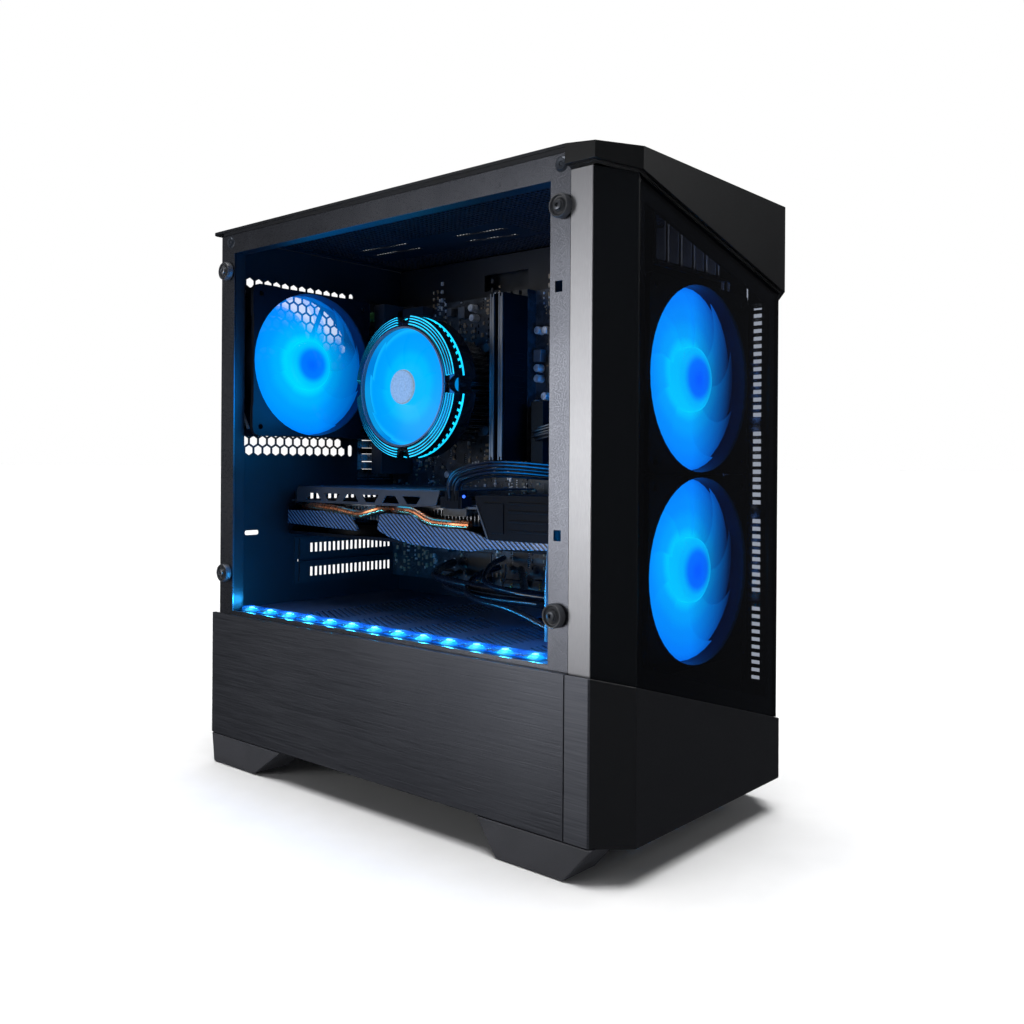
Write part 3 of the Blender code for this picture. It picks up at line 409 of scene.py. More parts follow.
def noise(tree, place, scale, detail):
    return make(tree, "TexNoise", {"Vector": place, "Scale": scale, "Detail": detail}, "Fac")


def relief(tree, height, strength):
    sockets = {"Height": height, "Strength": strength, "Distance": RELIEF_DEPTH}
    return make(tree, "Bump", sockets, "Normal")


def mixed(tree, share, first, second):
    """A colour between two colours."""
    first, second = ((*tint(c), 1) if isinstance(c, (str, tuple)) else c for c in (first, second))
    return make(tree, "Mix", {0: share, 6: first, 7: second}, 2, data_type="RGBA")


def spread_out(tree, value, low, high, start=0.3, end=0.7):
    sockets = {"Value": value, "From Min": start, "From Max": end, "To Min": low, "To Max": high}
    return make(tree, "MapRange", sockets)


def ramp_of(tree, share, stops, interpolation="LINEAR"):
    """Colours along a share, from (position, colour code) pairs."""
    colour = make(tree, "ValToRGB", {"Fac": share}, "Color")
    ramp = colour.node.color_ramp
    ramp.interpolation = interpolation
    while len(ramp.elements) < len(stops):
        ramp.elements.new(0.5)
    for key, (position, code) in zip(ramp.elements, stops):
        key.position = position
        key.color = (*tint(code), 1)
    return colour


def surface(name, dark, light, rough, metallic=0, grain=1500, stretch=(1, 1, 1), bump=0.15,
            cloud=25, spread=0.08, coat=0, mirror=0.5):
    """A finish with fine grain in its relief and gloss, and slow changes in its colour."""
    material, tree, shader = graph(
        name, Metallic=metallic, Coat_Weight=coat, Coat_Roughness=0.08, Specular_IOR_Level=mirror)
    place = own_place(tree)
    fine = noise(tree, make(tree, "Mapping", {"Vector": place, "Scale": stretch}), grain, 3)
    share = spread_out(tree, noise(tree, place, cloud, 3), 0, 1)
    feed(tree, shader, Base_Color=mixed(tree, share, dark, light), Normal=relief(tree, fine, bump),
         Roughness=spread_out(tree, fine, max(rough - spread, 0.02), rough + spread))
    return material


def glow(name, colour, strength, spot=400, base=(0.02, 0.05, 0.1)):
    """A lit plastic whose light varies a little over its surface."""
    material, tree, shader = graph(name, Emission_Strength=strength, Roughness=0.35)
    share = spread_out(tree, noise(tree, own_place(tree), spot, 2), 0, 1)
    colour, base = tint(colour), tint(base)
    dim = tuple(value * 0.72 for value in colour)
    pale = tuple(value * 1.6 for value in base)
    feed(tree, shader, Emission_Color=mixed(tree, share, dim, colour),
         Base_Color=mixed(tree, share, base, pale))
    return material


def directed(tree, flat, direction, reach, low, high, start, end):
    """A value that changes from one side of a fan to the other, along a direction."""
    way = tuple(Vector(direction).normalized())
    across = make(tree, "VectorMath", {0: flat, 1: way}, "Value", operation="DOT_PRODUCT")
    return spread_out(tree, across, low, high, start * reach, end * reach)


def disc_glow(name, centre, axis, radius, stops, strength, cover, painted_shade=None, thin=None):
    """Light that runs through colours from the middle of a fan to its rim, with soft swirls.

    Painted shade: the light fades towards one side, along a given direction, and the blades thin out along
    another, standing in for the duct wall that hides that side of the disc.
    """
    material, tree, shader = graph(name, Emission_Strength=strength, Roughness=0.3, Specular_IOR_Level=0.1)
    material.surface_render_method = "BLENDED"
    reach = radius * MM
    middle = tuple(value * MM for value in centre)
    offset = make(tree, "VectorMath", {0: own_place(tree), 1: middle}, operation="SUBTRACT")
    keep = tuple(0 if letter == axis else 1 for letter in "xyz")
    flat = make(tree, "VectorMath", {0: offset, 1: keep}, operation="MULTIPLY")
    length = make(tree, "VectorMath", {0: flat}, "Value", operation="LENGTH")
    swirl = noise(tree, flat, 22, 0)
    push = spread_out(tree, swirl, -0.03, 0.03, 0.2, 0.8)
    share = make(tree, "MapRange", {"Value": length, "From Max": reach})
    # Painted shade: the light is dimmed towards one side of the disc.
    if painted_shade:
        fade = directed(tree, flat, painted_shade[0], reach, strength, strength * painted_shade[1], painted_shade[2], painted_shade[3])
        feed(tree, shader, Emission_Strength=fade)
    veil = spread_out(tree, swirl, cover[0], cover[1], 0.35, 0.65)
    if thin:
        veil = mathed(tree, "SUBTRACT", veil, directed(tree, flat, thin[0], reach, 0, *thin[1:]))
    feed(tree, shader, Emission_Color=ramp_of(tree, mathed(tree, "ADD", share, push), stops, "EASE"),
         Base_Color=mixed(tree, share, (0, 0.02, 0.06), (0, 0.01, 0.03)), Alpha=veil)
    return material


def beyond(tree, place, half):
    """1 on the two narrow sides, which stand beyond half a width in metres, and 0 between them."""
    return mathed(tree, "GREATER_THAN", mathed(tree, "ABSOLUTE", split(tree, place, "X")), half)


def stretched(tree, place, scale, grain):
    return noise(tree, make(tree, "Mapping", {"Vector": place, "Scale": scale}), grain, 4)


def bezel_finish():
    """Gloss black on the front and its chamfers, bright satin metal on the two narrow sides, whose change of
    brightness with height is a painted highlight.
    """
    material, tree, shader = graph("bezel_gloss_and_silver")
    place = own_place(tree)
    side = beyond(tree, place, 0.1011)
    height = split(tree, place, "Z")
    brushed = stretched(tree, place, (1, 30, 1), 220)
    # Painted highlight: the silver is darker low down, brightest between 0.24 and 0.26 m and a little darker
    # again above, where the left soft box is mirrored.
    lower = spread_out(tree, height, 0, 1, 0.09, 0.24)
    upper = spread_out(tree, height, 0, 1, 0.26, 0.40)
    silver = mixed(tree, upper, mixed(tree, lower, "86868a", "aaaaad"), "96969a")
    streaked = mixed(tree, spread_out(tree, brushed, 0, 0.25), silver, "6d6e72")
    rough = make(tree, "MapRange", {"Value": side, "To Min": 0.16, "To Max": 0.34})
    feed(tree, shader, Base_Color=mixed(tree, side, "06080b", streaked),
         Metallic=mathed(tree, "MULTIPLY", side, 0.85), Normal=relief(tree, brushed, 0.04),
         Roughness=mathed(tree, "ADD", rough, mathed(tree, "MULTIPLY", brushed, 0.10)))
    return material


def plinth_finish():
    """Black plastic whose two narrow sides are brushed metal, like the cover beside them."""
    material, tree, shader = graph("plinth_black_and_brushed")
    place = own_place(tree)
    side = beyond(tree, place, 0.1042)
    brushed = stretched(tree, place, (1, 0.03, 1.6), 900)
    metal = mixed(tree, spread_out(tree, brushed, 0, 1), "56585f", "686a71")
    feed(tree, shader, Base_Color=mixed(tree, side, "0f1014", metal), Normal=relief(tree, brushed, 0.12),
         Metallic=mathed(tree, "MULTIPLY", side, 0.9), Roughness=spread_out(tree, brushed, 0.38, 0.46))
    return material


def smoked_glass():
    """Dark polished sheet: light passes through it, tinted, and its surface mirrors the room."""
    material, tree, shader = graph("smoked_glass", Transmission_Weight=1, IOR=1.3)
    cloud = noise(tree, own_place(tree), 8, 2)
    tinted = mixed(tree, spread_out(tree, cloud, 0, 1), (0.30, 0.33, 0.40), (0.34, 0.37, 0.44))
    feed(tree, shader, Base_Color=tinted, Roughness=spread_out(tree, cloud, 0.01, 0.025))
    return material


def waves(tree, place, direction, scale, distortion, **more):
    sockets = {"Vector": place, "Scale": scale, "Distortion": distortion, **more}
    return make(tree, "TexWave", sockets, "Fac", wave_type="BANDS", bands_direction=direction)


def carbon_finish():
    """Woven carbon: slanted light bands, each broken up by a fine cross weave."""
    material, tree, shader = graph("carbon_weave", Metallic=0.35, Coat_Weight=0.5)
    slanted = make(tree, "Mapping", {"Vector": own_place(tree), "Rotation": (math.radians(52), 0, 0)})
    bands = waves(tree, slanted, "Y", 118, 0.4)
    weave = waves(tree, slanted, "Z", 330, 0.2)
    light = mixed(tree, weave, "5b7596", "2c425e")
    feed(tree, shader, Base_Color=mixed(tree, spread_out(tree, bands, 0, 1, 0.35, 0.6), "070a12", light),
         Normal=relief(tree, bands, 0.3), Roughness=spread_out(tree, weave, 0.22, 0.4))
    return material


def board_finish():
    """Black solder mask with faint copper runs under it."""
    material, tree, shader = graph("board_black_mask")
    place = own_place(tree)
    sockets = {"Vector": place, "Scale": 240}
    cells = make(tree, "TexVoronoi", sockets, "Distance", distance="CHEBYCHEV", feature="F1")
    runs = waves(tree, place, "DIAGONAL", 260, 6, Detail=1)
    marks = spread_out(tree, cells, 0, 0.5, 0.46, 0.52)
    both = mathed(tree, "MAXIMUM", marks, spread_out(tree, runs, 0, 0.45, 0.72, 0.8))
    feed(tree, shader, Base_Color=mixed(tree, both, "0b0d12", "3a4048"), Normal=relief(tree, both, 0.25),
         Roughness=spread_out(tree, cells, 0.3, 0.5))
    return material


def strip_finish(name, strength, alpha):
    """Light that is cyan beside each lamp of the strip and fades to deep blue between them."""
    material, tree, shader = graph(name, Emission_Strength=strength, Alpha=alpha)
    place = own_place(tree)
    half_step = LAMP_STEP * MM / 2
    shifted = mathed(tree, "SUBTRACT", split(tree, place, "Y"), FIRST_LAMP * MM)
    away = mathed(tree, "PINGPONG", shifted, half_step)
    near = make(tree, "MapRange", {"Value": away, "From Max": half_step})
    cloud = noise(tree, place, 300, 2)
    stops = [(0, "8cf0ff"), (0.18, "20c4ff"), (0.42, "0886f4"), (0.72, "0450c0"), (1, "03348c")]
    feed(tree, shader, Emission_Color=ramp_of(tree, near, stops),
         Base_Color=mixed(tree, cloud, "0a2450", "14407c"), Roughness=spread_out(tree, cloud, 0.1, 0.25))
    return material


BLACK_STEEL = surface("black_powder_coat", "15171c", "1d2027", 0.48, 0.35, 2600, bump=0.5)
INNER_STEEL = surface("inner_black_coat", "0b0d13", "11141c", 0.42, 0.3, 2600, bump=0.5)
FLANGE_STEEL = surface("flange_grey_coat", "595b62", "66686f", 0.30, 1, 2600, bump=0.2)
BRUSHED_BLACK = surface("brushed_black", "53555c", "62646b", 0.40, 1, 900, (1, 0.03, 1.6), 0.25, 6, 0.06)
CAP_PLASTIC = surface("cap_plastic", "08090b", "0d0e10", 0.38, 0, 1800, bump=0.3, mirror=0.35)
FOOT_PLASTIC = surface("foot_plastic", "303136", "3a3b41", 0.5, bump=0.35)
BLACK_PLASTIC = surface("black_plastic", "0d0e11", "14161a", 0.4, bump=0.25)
GLOSS_BLACK = surface("gloss_black", "08090c", "0d0f13", 0.15, 0, 800, bump=0.05, coat=0.6)
RUBBER = surface("rubber", "101113", "1b1c1f", 0.75, 0, 1200, bump=0.5)
STEEL = surface("zinc_steel", "b9bbc0", "8e9197", 0.30, 1, 900, (1, 1, 0.1), bump=0.1)
DULL_STEEL = surface("dull_steel", "55585e", "6c6f75", 0.38, 0.9, 900, bump=0.1)
ALUMINIUM = surface("aluminium", "c3c6cb", "a9adb4", 0.32, 1, 1100, (1, 0.1, 1), bump=0.12)
RAIL_GREY = surface("anodised_grey", "2b3038", "383d46", 0.4, 0.6, bump=0.2)
COPPER = surface("copper", "d87c50", "f0a074", 0.3, 1, 600, bump=0.06, cloud=60)
GOLD = surface("gold_contact", "c9a24a", "e2c170", 0.28, 1, 900, bump=0.05)
CHIP_BLACK = surface("chip_epoxy", "131418", "1c1e23", 0.5, 0, 2200, bump=0.3)
PART_GREY = surface("ferrite_grey", "34383f", "4a4f57", 0.4, 0.3, 1200, bump=0.3)
PART_PALE = surface("pale_parts", "8c919a", "c4c8cf", 0.35, 0.6, 900, cloud=300)
CARD_DARK = surface("card_dark_plastic", "04060a", "090c12", 0.42, bump=0.3, mirror=0.06)
SHROUD_STEEL = surface("shroud_blue_black", "262f42", "343e53", 0.4, 0.2, 2600, bump=0.4)
SEAT_RUBBER = surface("seat_rubber", "2a2c30", "3b3d42", 0.42, 0, 1200, bump=0.3)
WIRE_BLACK = surface("wire_black", "0f1116", "191c24", 0.34, 0, 900, bump=0.2)
WIRE_GREY = surface("wire_grey", "3b3e45", "575b63", 0.34, 0, 900, bump=0.2)
FAN_SHELL = surface("fan_shell_blue_black", "04060c", "060a14", 0.36, bump=0.1, mirror=0.15)
WALL_GREY = surface("front_wall_grey", "2a2c32", "383b42", 0.45, 0.3, 2600, bump=0.4)
# Pale grey for the ribs in front of the wall's upper slots: painted light, for light that shows through the
# slots.
RIB_PALE_PAINTED_LIGHT = surface("rib_grey_painted_light", "8e9096", "a6a8ae", 0.4, 0.4, 2600, bump=0.2)
LIP_BRONZE = surface("lip_bronze_grey", "4a4c52", "5c5a5c", 0.35, 0.4, 900, bump=0.1)
BROWN = surface("ceramic_brown", "6b5a49", "8d7c66", 0.4, 0, 900, bump=0.1, cloud=400)
SLEEVE = surface("gloss_sleeve", "08090d", "10131b", 0.22, 0, 900, bump=0.3)
PORT_BLUE = surface("port_blue", "1d3f8f", "234a9e", 0.4, 0, 900, bump=0.1)
JACK_GREEN = surface("jack_green", "4f8f4a", "5c9c56", 0.4, 0, 900, bump=0.1)
SOCKET_BLUE = surface("socket_blue", "17408f", "1f4ba0", 0.4, 0, 900, bump=0.1)
PLINTH = plinth_finish()
BEZEL = bezel_finish()
SMOKED_GLASS = smoked_glass()
CARBON = carbon_finish()
BOARD = board_finish()
CYAN_LIGHT = glow("cyan_light", "10c8ff", 1.7, 90)
LED_WHITE = glow("led_white", "a8f6ff", 2)
LED_BLUE = glow("led_blue_halo", "08b0ff", 1.5)
HUB_LABEL = glow("hub_label", "9ebbd8", 0.78, 700, "101214")
STATUS_BLUE = glow("status_blue", "2a5cff", 2.5)


# ---------------------------------------------------------------- camera, light and floor

FLOOR_SIZE = 60
FLOOR_GAP = 0.0005


def stage():
    """A white backdrop for the camera, a dim room in reflections, and a wide pale floor."""
    world = bpy.data.worlds.new("studio")
    bpy.context.scene.world = world
    world.use_nodes = True
    tree = world.node_tree
    path = make(tree, "LightPath").node.outputs
    bounces = mathed(tree, "ADD", path["Glossy Depth"], path["Diffuse Depth"])
    height = split(tree, make(tree, "TexCoord", out="Generated"), "Z")
    rise = spread_out(tree, height, 0, 1, -0.3, 0.9)
    room = mixed(tree, rise, (0.035, 0.037, 0.042), (0.075, 0.078, 0.085))
    sky = mixed(tree, mathed(tree, "LESS_THAN", bounces, 0.5), room, (1, 1, 1))
    feed(tree, tree.nodes["Background"], Color=sky)

    form = bmesh.new()
    bmesh.ops.create_grid(form, x_segments=2, y_segments=2, size=FLOOR_SIZE)
    mesh = bpy.data.meshes.new("floor")
    form.to_mesh(mesh)
    form.free()
    floor = link(bpy.data.objects.new("floor", mesh))
    floor.location = (0, 0, -FLOOR_GAP)
    floor.visible_glossy = False
    floor.visible_transmission = False
    dress(floor, surface("pale_floor", (0.86, 0.86, 0.86), (0.9, 0.9, 0.9), 0.7, 0, 60, bump=0))


def light(name, kind, power, **settings):
    data = bpy.data.lights.new(name, kind)
    data.energy = power
    for key, value in settings.items():
        setattr(data, key, value)
    return link(bpy.data.objects.new(name, data))


def area_light(name, place, target, size, power):
    obj = light(name, "AREA", power, shape="DISK", size=size)
    obj.location = place
    obj.rotation_mode = "QUATERNION"
    obj.rotation_quaternion = (Vector(target) - Vector(place)).to_track_quat("-Z", "Y")


def lamp(name, place, power, radius, colour=(0, 0.28, 1)):
    light(name, "POINT", power, color=colour, shadow_soft_size=radius).location = Vector(place) * MM


def studio_lights():
    """An even light from above for the floor, and soft boxes that the tower mirrors."""
    light("overhead", "SUN", 4.2, angle=math.radians(50))
    middle = (-0.1, -0.1, 0.22)
    area_light("soft_box_left", (-1.61, 0.81, 0.36), middle, 0.8, 6.4)
    area_light("soft_box_low", (-1.15, 0.52, 0.03), (-0.1, -0.1, 0.08), 0.5, 1.2)
    area_light("soft_box_front", (1.3, -1.9, 1.2), middle, 1, 5)


def camera():
    data = bpy.data.cameras.new("camera")
    data.sensor_width = 36
    data.lens = 35.636
    data.shift_y = -0.04636
    obj = link(bpy.data.objects.new("camera", data))
    place = Matrix.Translation((-0.5566, -0.5127, 0.2351))
    for angle, axis in ((-49.09, "Z"), (90, "X"), (0.38, "Z")):
        place = place @ Matrix.Rotation(math.radians(angle), 4, axis)
    obj.matrix_world = place
    bpy.context.scene.camera = obj
    bpy.context.scene.view_settings.view_transform = "Standard"


# ---------------------------------------------------------------- chassis

FAN_SIZE = 119.7
FAN_DEPTH = 25
FAN_DUCT = 58.4
FRONT_FANS = (289.4, 169.4)
REAR_FAN = (-30.5, 316.3)
SLOT_HEIGHTS = (204, 184, 163.2, 142.8)


def fan_screws(centre):
    """The four screw places of a 120 mm fan."""
    half_pitch = 52.5
    return [(centre[0] + sx * half_pitch, centre[1] + sz * half_pitch) for sx in (-1, 1) for sz in (-1, 1)]


def sheet(name, node, material, holes, axis):
    """A flat CAD node drawn again with holes."""
    low, high = corners(node)
    ends = ((low.x, low.y), (high.x, high.y), low.z, high.z)
    if axis == "y":
        ends = ((low.x, low.z), (high.x, high.z), low.y, high.y)
    form = bmesh.new()
    plate(form, rectangle(*ends[:2]), holes, axis, *ends[2:])
    piece(name, form, material, replaces=node)


def kept_nodes():
    """CAD solids whose shape is right: finer materials, and rounded edges where they show."""
    looks = {
        "base_pan": (BLACK_STEEL, 0), "side_frame": (FLANGE_STEEL, 0),
        "motherboard_tray": (INNER_STEEL, 0), "lower_side_cover": (BRUSHED_BLACK, 0.5),
        "right_side_panel": (BLACK_STEEL, 0.5), "psu_case": (BLACK_STEEL, 0),
        "psu_dust_filter": (BLACK_PLASTIC, 0.3), "bezel_base": (PLINTH, 0.5),
        "bezel_cap": (CAP_PLASTIC, 0.5), "bezel_frame": (BEZEL, 0.3), "front_glass": (SMOKED_GLASS, 0.3),
        "front_ports": (STEEL, 0), "power_button": (GLOSS_BLACK, 0.3), "reset_button": (GLOSS_BLACK, 0.2),
        "processor": (STEEL, 0.2), "motherboard": (BOARD, 0), "gpu_board": (BOARD, 0),
        "solid_state_drive": (RAIL_GREY, 0.6), "psu_inlet": (BLACK_PLASTIC, 0.3),
        "psu_switch": (BLACK_PLASTIC, 0.3),
    }
    for foot in ("front_left", "front_right", "rear_left", "rear_right"):
        looks[foot + "_foot"] = (FOOT_PLASTIC, 0.8)
    for node, (material, edge) in looks.items():
        dress(frame["nodes"][node], material)
        if edge:
            soften(frame["nodes"][node], edge)


def rear_panel():
    low, high = corners("rear_panel")
    fan_x, fan_z = REAR_FAN
    screws = fan_screws(REAR_FAN)

    def clear(x, z):
        return all(math.hypot(x - a, z - b) > 7 for a, b in screws)

    holes = hexagons((fan_x - 54, fan_z - 71), (fan_x + 54, fan_z + 65), 8.7, 8.4, clear)
    for x in (fan_x - 62, fan_x + 60):
        for z in (fan_z - 70, fan_z + 64):
            holes.append(rounded((x - 2.4, z - 5), (x + 2.4, z + 5), 2.2))
    holes += [circle(place, 2.2, 12) for place in screws]
    holes += [circle((94.5, height), 2.4, 12) for height in (72, 392)]
    holes += [rectangle((-16, height - 6.5), (78, height + 6.5)) for height in SLOT_HEIGHTS]
    holes += [
        rectangle((-66, 29), (76, 107)), rounded((-79.5, 176.6), (-66, 180.4), 1.6),
        rectangle((-27, 135), (-25.8, 171)), rectangle((38, 221), (82.5, 380)),
    ]
    form = bmesh.new()
    plate(form, rectangle((low.x, low.z), (high.x, high.z)), holes, "y", low.y, high.y)
    for z in (113, 222):
        box(form, (low.x + 3, high.y - 0.2, z), (high.x - 3, high.y + 0.5, z + 1.2))
    piece("rear_wall", form, INNER_STEEL, replaces="rear_panel")

    form = bmesh.new()
    screws += [(-67, 105.5), (77.5, 105.5), (-67, 32), (77.5, 32)]
    screws += [(-24, height) for height in SLOT_HEIGHTS]
    for x, z in screws:
        turned(form, [(0, 2.4), (2.2, 2.4), (3.4, 1.4), (3.6, 0), (0, 0)], (x, high.y + 0.1, z), "y", 16)
    piece("rear_screws", form, DULL_STEEL)


def side_details():
    """The folded edges of the window frame, its hooks, and the screws that hold the side panel."""
    low, high = corners("side_frame")
    front, rear, bottom, top = -146.4, 169.3, 120, 398.6
    form = bmesh.new()
    box(form, (high.x - 0.2, front - 1, bottom), (high.x + 11, front, top))
    box(form, (high.x - 0.2, rear, bottom), (high.x + 9, rear + 1, top))
    box(form, (high.x - 0.2, front, top), (high.x + 9, rear, top + 1))
    for z in (191.4, 334):
        box(form, (low.x + 0.1, front - 3.6, z - 5), (high.x + 3, front - 1.8, z + 9.5))
    piece("window_folds", form, INNER_STEEL, edge=0.3)
    form = bmesh.new()
    box(form, (high.x, -158, 24.6), (high.x + 10, 180, 25.6))
    box(form, (high.x, -158, top + 8), (high.x + 14, 180, top + 9))
    piece("frame_folds", form, INNER_STEEL)
    form = bmesh.new()
    head = [(1.3, -0.4), (1.5, -1.1), (3.4, -1.3), (4.3, -0.2), (4.9, 0), (4.9, 0.5), (1.3, 0.5)]
    for y, z in ((-154.5, 407), (174.5, 407.6)):
        turned(form, head, (low.x, y, z), "x", 20)
        rod(form, (low.x - 0.3, y, z), "x", 1.3, 1, 6)
    piece("side_screws", form, RAIL_GREY)


def front_wall():
    near = corners("front_wall")[0].y
    holes = [rounded((x, 352), (x + 4.4, 364), 1.4) for x in (68, 76)]
    holes += [rounded((-14.5 + 16 * index, 366), (-2.9 + 16 * index, 404), 1.2) for index in range(5)]
    holes += [rectangle((x, z), (x + 8, z + 3.6)) for z in range(124, 348, 8) for x in (-80, 72)]
    for height in FRONT_FANS:
        holes.append(circle((0, height), FAN_DUCT, 48))
        holes += [rounded((x - 2.2, z - 5), (x + 2.2, z + 5), 2) for x, z in fan_screws((0, height))]
    sheet("front_inner_wall", "front_wall", WALL_GREY, holes, "y")
    # The ledge and ribs are much paler than the wall they stand on: painted light.
    form = bmesh.new()
    box(form, (-18, near - 6, 361.6), (66, near + 0.2, 363))
    for index in range(6):
        x = -17.4 + 16 * index
        box(form, (x, near - 1.6, 363), (x + 1.2, near + 0.2, 404))
    piece("front_wall_ribs", form, RIB_PALE_PAINTED_LIGHT, edge=0.2)


def top_panel():
    """Square mesh round a plain patch with four slots, and the panel's folded edges."""
    low, high = corners("top_panel")
    x0, x1, y0, y1 = low.x, high.x, low.y, high.y
    plane = high.z - SHEET
    left, right, front, back = 4, 54, -12, 160
    slots = [
        [(b - 2.5, d), (b + 2.5, d), (a + 2.5, c), (a - 2.5, c)]
        for a, c, b, d in ((19, 47, 24, -3), (38, 52, 45, 3), (10, 148, 13, 95), (28, 152, 32, 99))
    ]
    form = bmesh.new()
    plate(form, rectangle((left, front), (right, back)), slots, "z", plane, high.z)
    for a, b, c, d in (
        (x0 + 9, left, y0 + 9, y1 - 9), (right, x1 - 9, y0 + 9, y1 - 9),
        (left, right, y0 + 9, front), (left, right, back, y1 - 9),
    ):
        lattice(form, (a, c), (b, d), 4.4, 2.7, plane, SHEET)
    for a, b, c, d, z in (
        (x0, x0 + 2, y0, y1, low.z), (x1 - 2, x1, y0, y1, low.z), (x0, x1, y0, y0 + 2, low.z),
        (x0, x1, y1 - 2, y1, low.z), (x0 + 1, x0 + 9.2, y0 + 1, y1 - 1, plane),
        (x1 - 9.2, x1 - 1, y0 + 1, y1 - 1, plane), (x0 + 9, x1 - 9, y0 + 1, y0 + 9.2, plane),
        (x0 + 9, x1 - 9, y1 - 9.2, y1 - 1, plane),
    ):
        box(form, (a, c, z), (b, d, high.z))
    piece("top_perforated_panel", form, INNER_STEEL, replaces="top_panel")


def top_filter():
    low, high = corners("top_dust_filter")
    form = bmesh.new()
    opening = rounded((-92, -150), (92, 178), 3)
    plate(form, rounded((low.x, low.y), (high.x, high.y), 4), [opening[::-1]], "z", low.z, high.z)
    piece("filter_rim", form, BLACK_STEEL, "top_filter", edge=0.4, replaces="top_dust_filter")
    form = bmesh.new()
    lattice(form, (-92.5, -150.5), (92.5, 178.5), 3.2, 2.3, low.z + 0.4, 0.4)
    for y in (-40, 70):
        box(form, (-92.5, y - 2, low.z + 0.3), (92.5, y + 2, high.z - 0.4))
    piece("filter_mesh", form, BLACK_PLASTIC, "top_filter")


def psu_shroud():
    """The shroud's top with rows of slanted slots, which stop short of its edges and cable holes."""
    holes = [rectangle((56, -130), (84, -70)), rectangle((20, -40), (50, -20))]
    wide, length, slant = 2.4, 40, 22
    for column in range(24):
        for row in range(5):
            x, y = -84 + 5.6 * column, -140 + 56 * row
            right = x + wide + slant
            near_hole = (right > 54 and y < -66) or (right > 18 and x < 52 and y < -16 and y + length > -42)
            if right <= 84 and not near_hole:
                holes.append([(x, y), (x + wide, y), (right, y + length), (x + slant, y + length)])
    sheet("shroud_top", "psu_shroud", SHROUD_STEEL, holes, "z")


def slot_covers():
    for number, height in enumerate(SLOT_HEIGHTS[2:], start=1):
        node = f"slot_cover_{number}"
        holes = [rectangle((-27, height - 8.2), (-25.8, height + 8.2))]
        for index in range(19):
            x = -14.6 + 4.9 * index
            holes.append(rectangle((x, height - 3.9), (x + 3, height + 3.9)))
        sheet(f"vented_{node}", node, BLACK_STEEL, holes, "y")


def glass_posts():
    """Threaded posts in cup-shaped rubber seats, left bare by the missing side glass."""
    seat = [
        (1.7, -0.4), (1.7, -3.6), (2.4, -4.2), (3.4, -4.4), (4, -3.2), (4.7, -2.9), (5.5, -3.1),
        (5.9, -4.5), (6.6, -4.6), (7.1, -3.4), (7.1, -0.2), (1.7, -0.2), (1.7, -0.4),
    ]
    stud = [
        (0, -4.4), (1.1, -4.4), (1.1, -5.6), (1.7, -5.9), (2.7, -5.6), (3, -4.3), (1.6, -4), (1.6, 0), (0, 0),
    ]
    for where in ("front_upper", "front_lower", "rear_upper", "rear_lower"):
        node = f"glass_post_{where}"
        low, high = corners(node)
        place = (high.x, (low.y + high.y) / 2, (low.z + high.z) / 2)
        form = bmesh.new()
        turned(form, seat, place, "x", 32)
        piece(node + "_seat", form, SEAT_RUBBER, replaces=node)
        form = bmesh.new()
        turned(form, stud, place, "x", 24)
        for index in range(4):
            arc(form, 1.55, 1.95, -3.9 + index * 0.9, -3.5 + index * 0.9, 0, 359, 24, place, "x")
        piece(node + "_stud", form, DULL_STEEL)


def thumbscrews():
    knurls = 24
    for node in ("thumbscrew_upper", "thumbscrew_lower"):
        low, high = corners(node)
        x, z = (low.x + high.x) / 2, (low.z + high.z) / 2
        outline = []
        for step in range(knurls * 2):
            radius, angle = 4.85 if step % 2 else 4.45, math.tau * step / knurls / 2
            outline.append((x + radius * math.cos(angle), z + radius * math.sin(angle)))
        form = bmesh.new()
        plate(form, outline, [], "y", high.y - 6.8, high.y - 0.9)
        collar = [(0, 0), (2, 0), (2.4, -0.7), (4.2, -0.7), (4.4, -1.1), (0, -1.1)]
        turned(form, collar, (x, high.y, z), "y", 24)
        rod(form, (x, (low.y + high.y) / 2 - 2, z), "y", 1.55, high.y - low.y - 5, 16)
        piece(node + "_knurled", form, DULL_STEEL, node, replaces=node)


# ---------------------------------------------------------------- fans

FAN_STOPS = [
    (0, "005cff"), (0.17, "0070ff"), (0.30, "00c4ff"), (0.36, "00d2ff"), (0.50, "00aeff"), (0.72, "0098ff"),
    (0.90, "008cff"), (1, "0078f0"),
]
# Colours of the painted light on the inside of the fan ducts.
DUCT_PAINTED_LIGHT_STOPS = [(0, "0050c0"), (0.93, "0a3c90"), (1, "06245c")]


def blades(form, centre, axis, hub, tip, depth, count, root=0.8, cover=1.15, sweep=0.5, bow=0.25):
    """Curved, pitched blades: each is a thin closed shell from the hub to the tip."""
    place = along(axis, centre)
    across, outward, thickness = 6, 7, 0.7
    parts = [cell / across for cell in range(across + 1)]
    section = [(-1, part) for part in parts] + [(1, 1 - part) for part in parts]
    for index in range(count):
        rings = []
        for step in range(outward + 1):
            share = step / outward
            radius = hub - 0.6 + (tip - hub + 0.6) * share
            chord = math.tau / count * (root + (cover - root) * share)
            points = []
            for side, part in section:
                angle = math.tau * index / count + sweep * share * share + (part - 0.5) * chord
                height = (0.5 - part) * depth + bow * depth * (0.25 - (part - 0.5) ** 2) * 2
                height += side * thickness * (0.25 + part * (1 - part) * 2.2)
                points += spun(place, [(radius, height)], angle)
            rings.append(points)
        loft(form, rings)


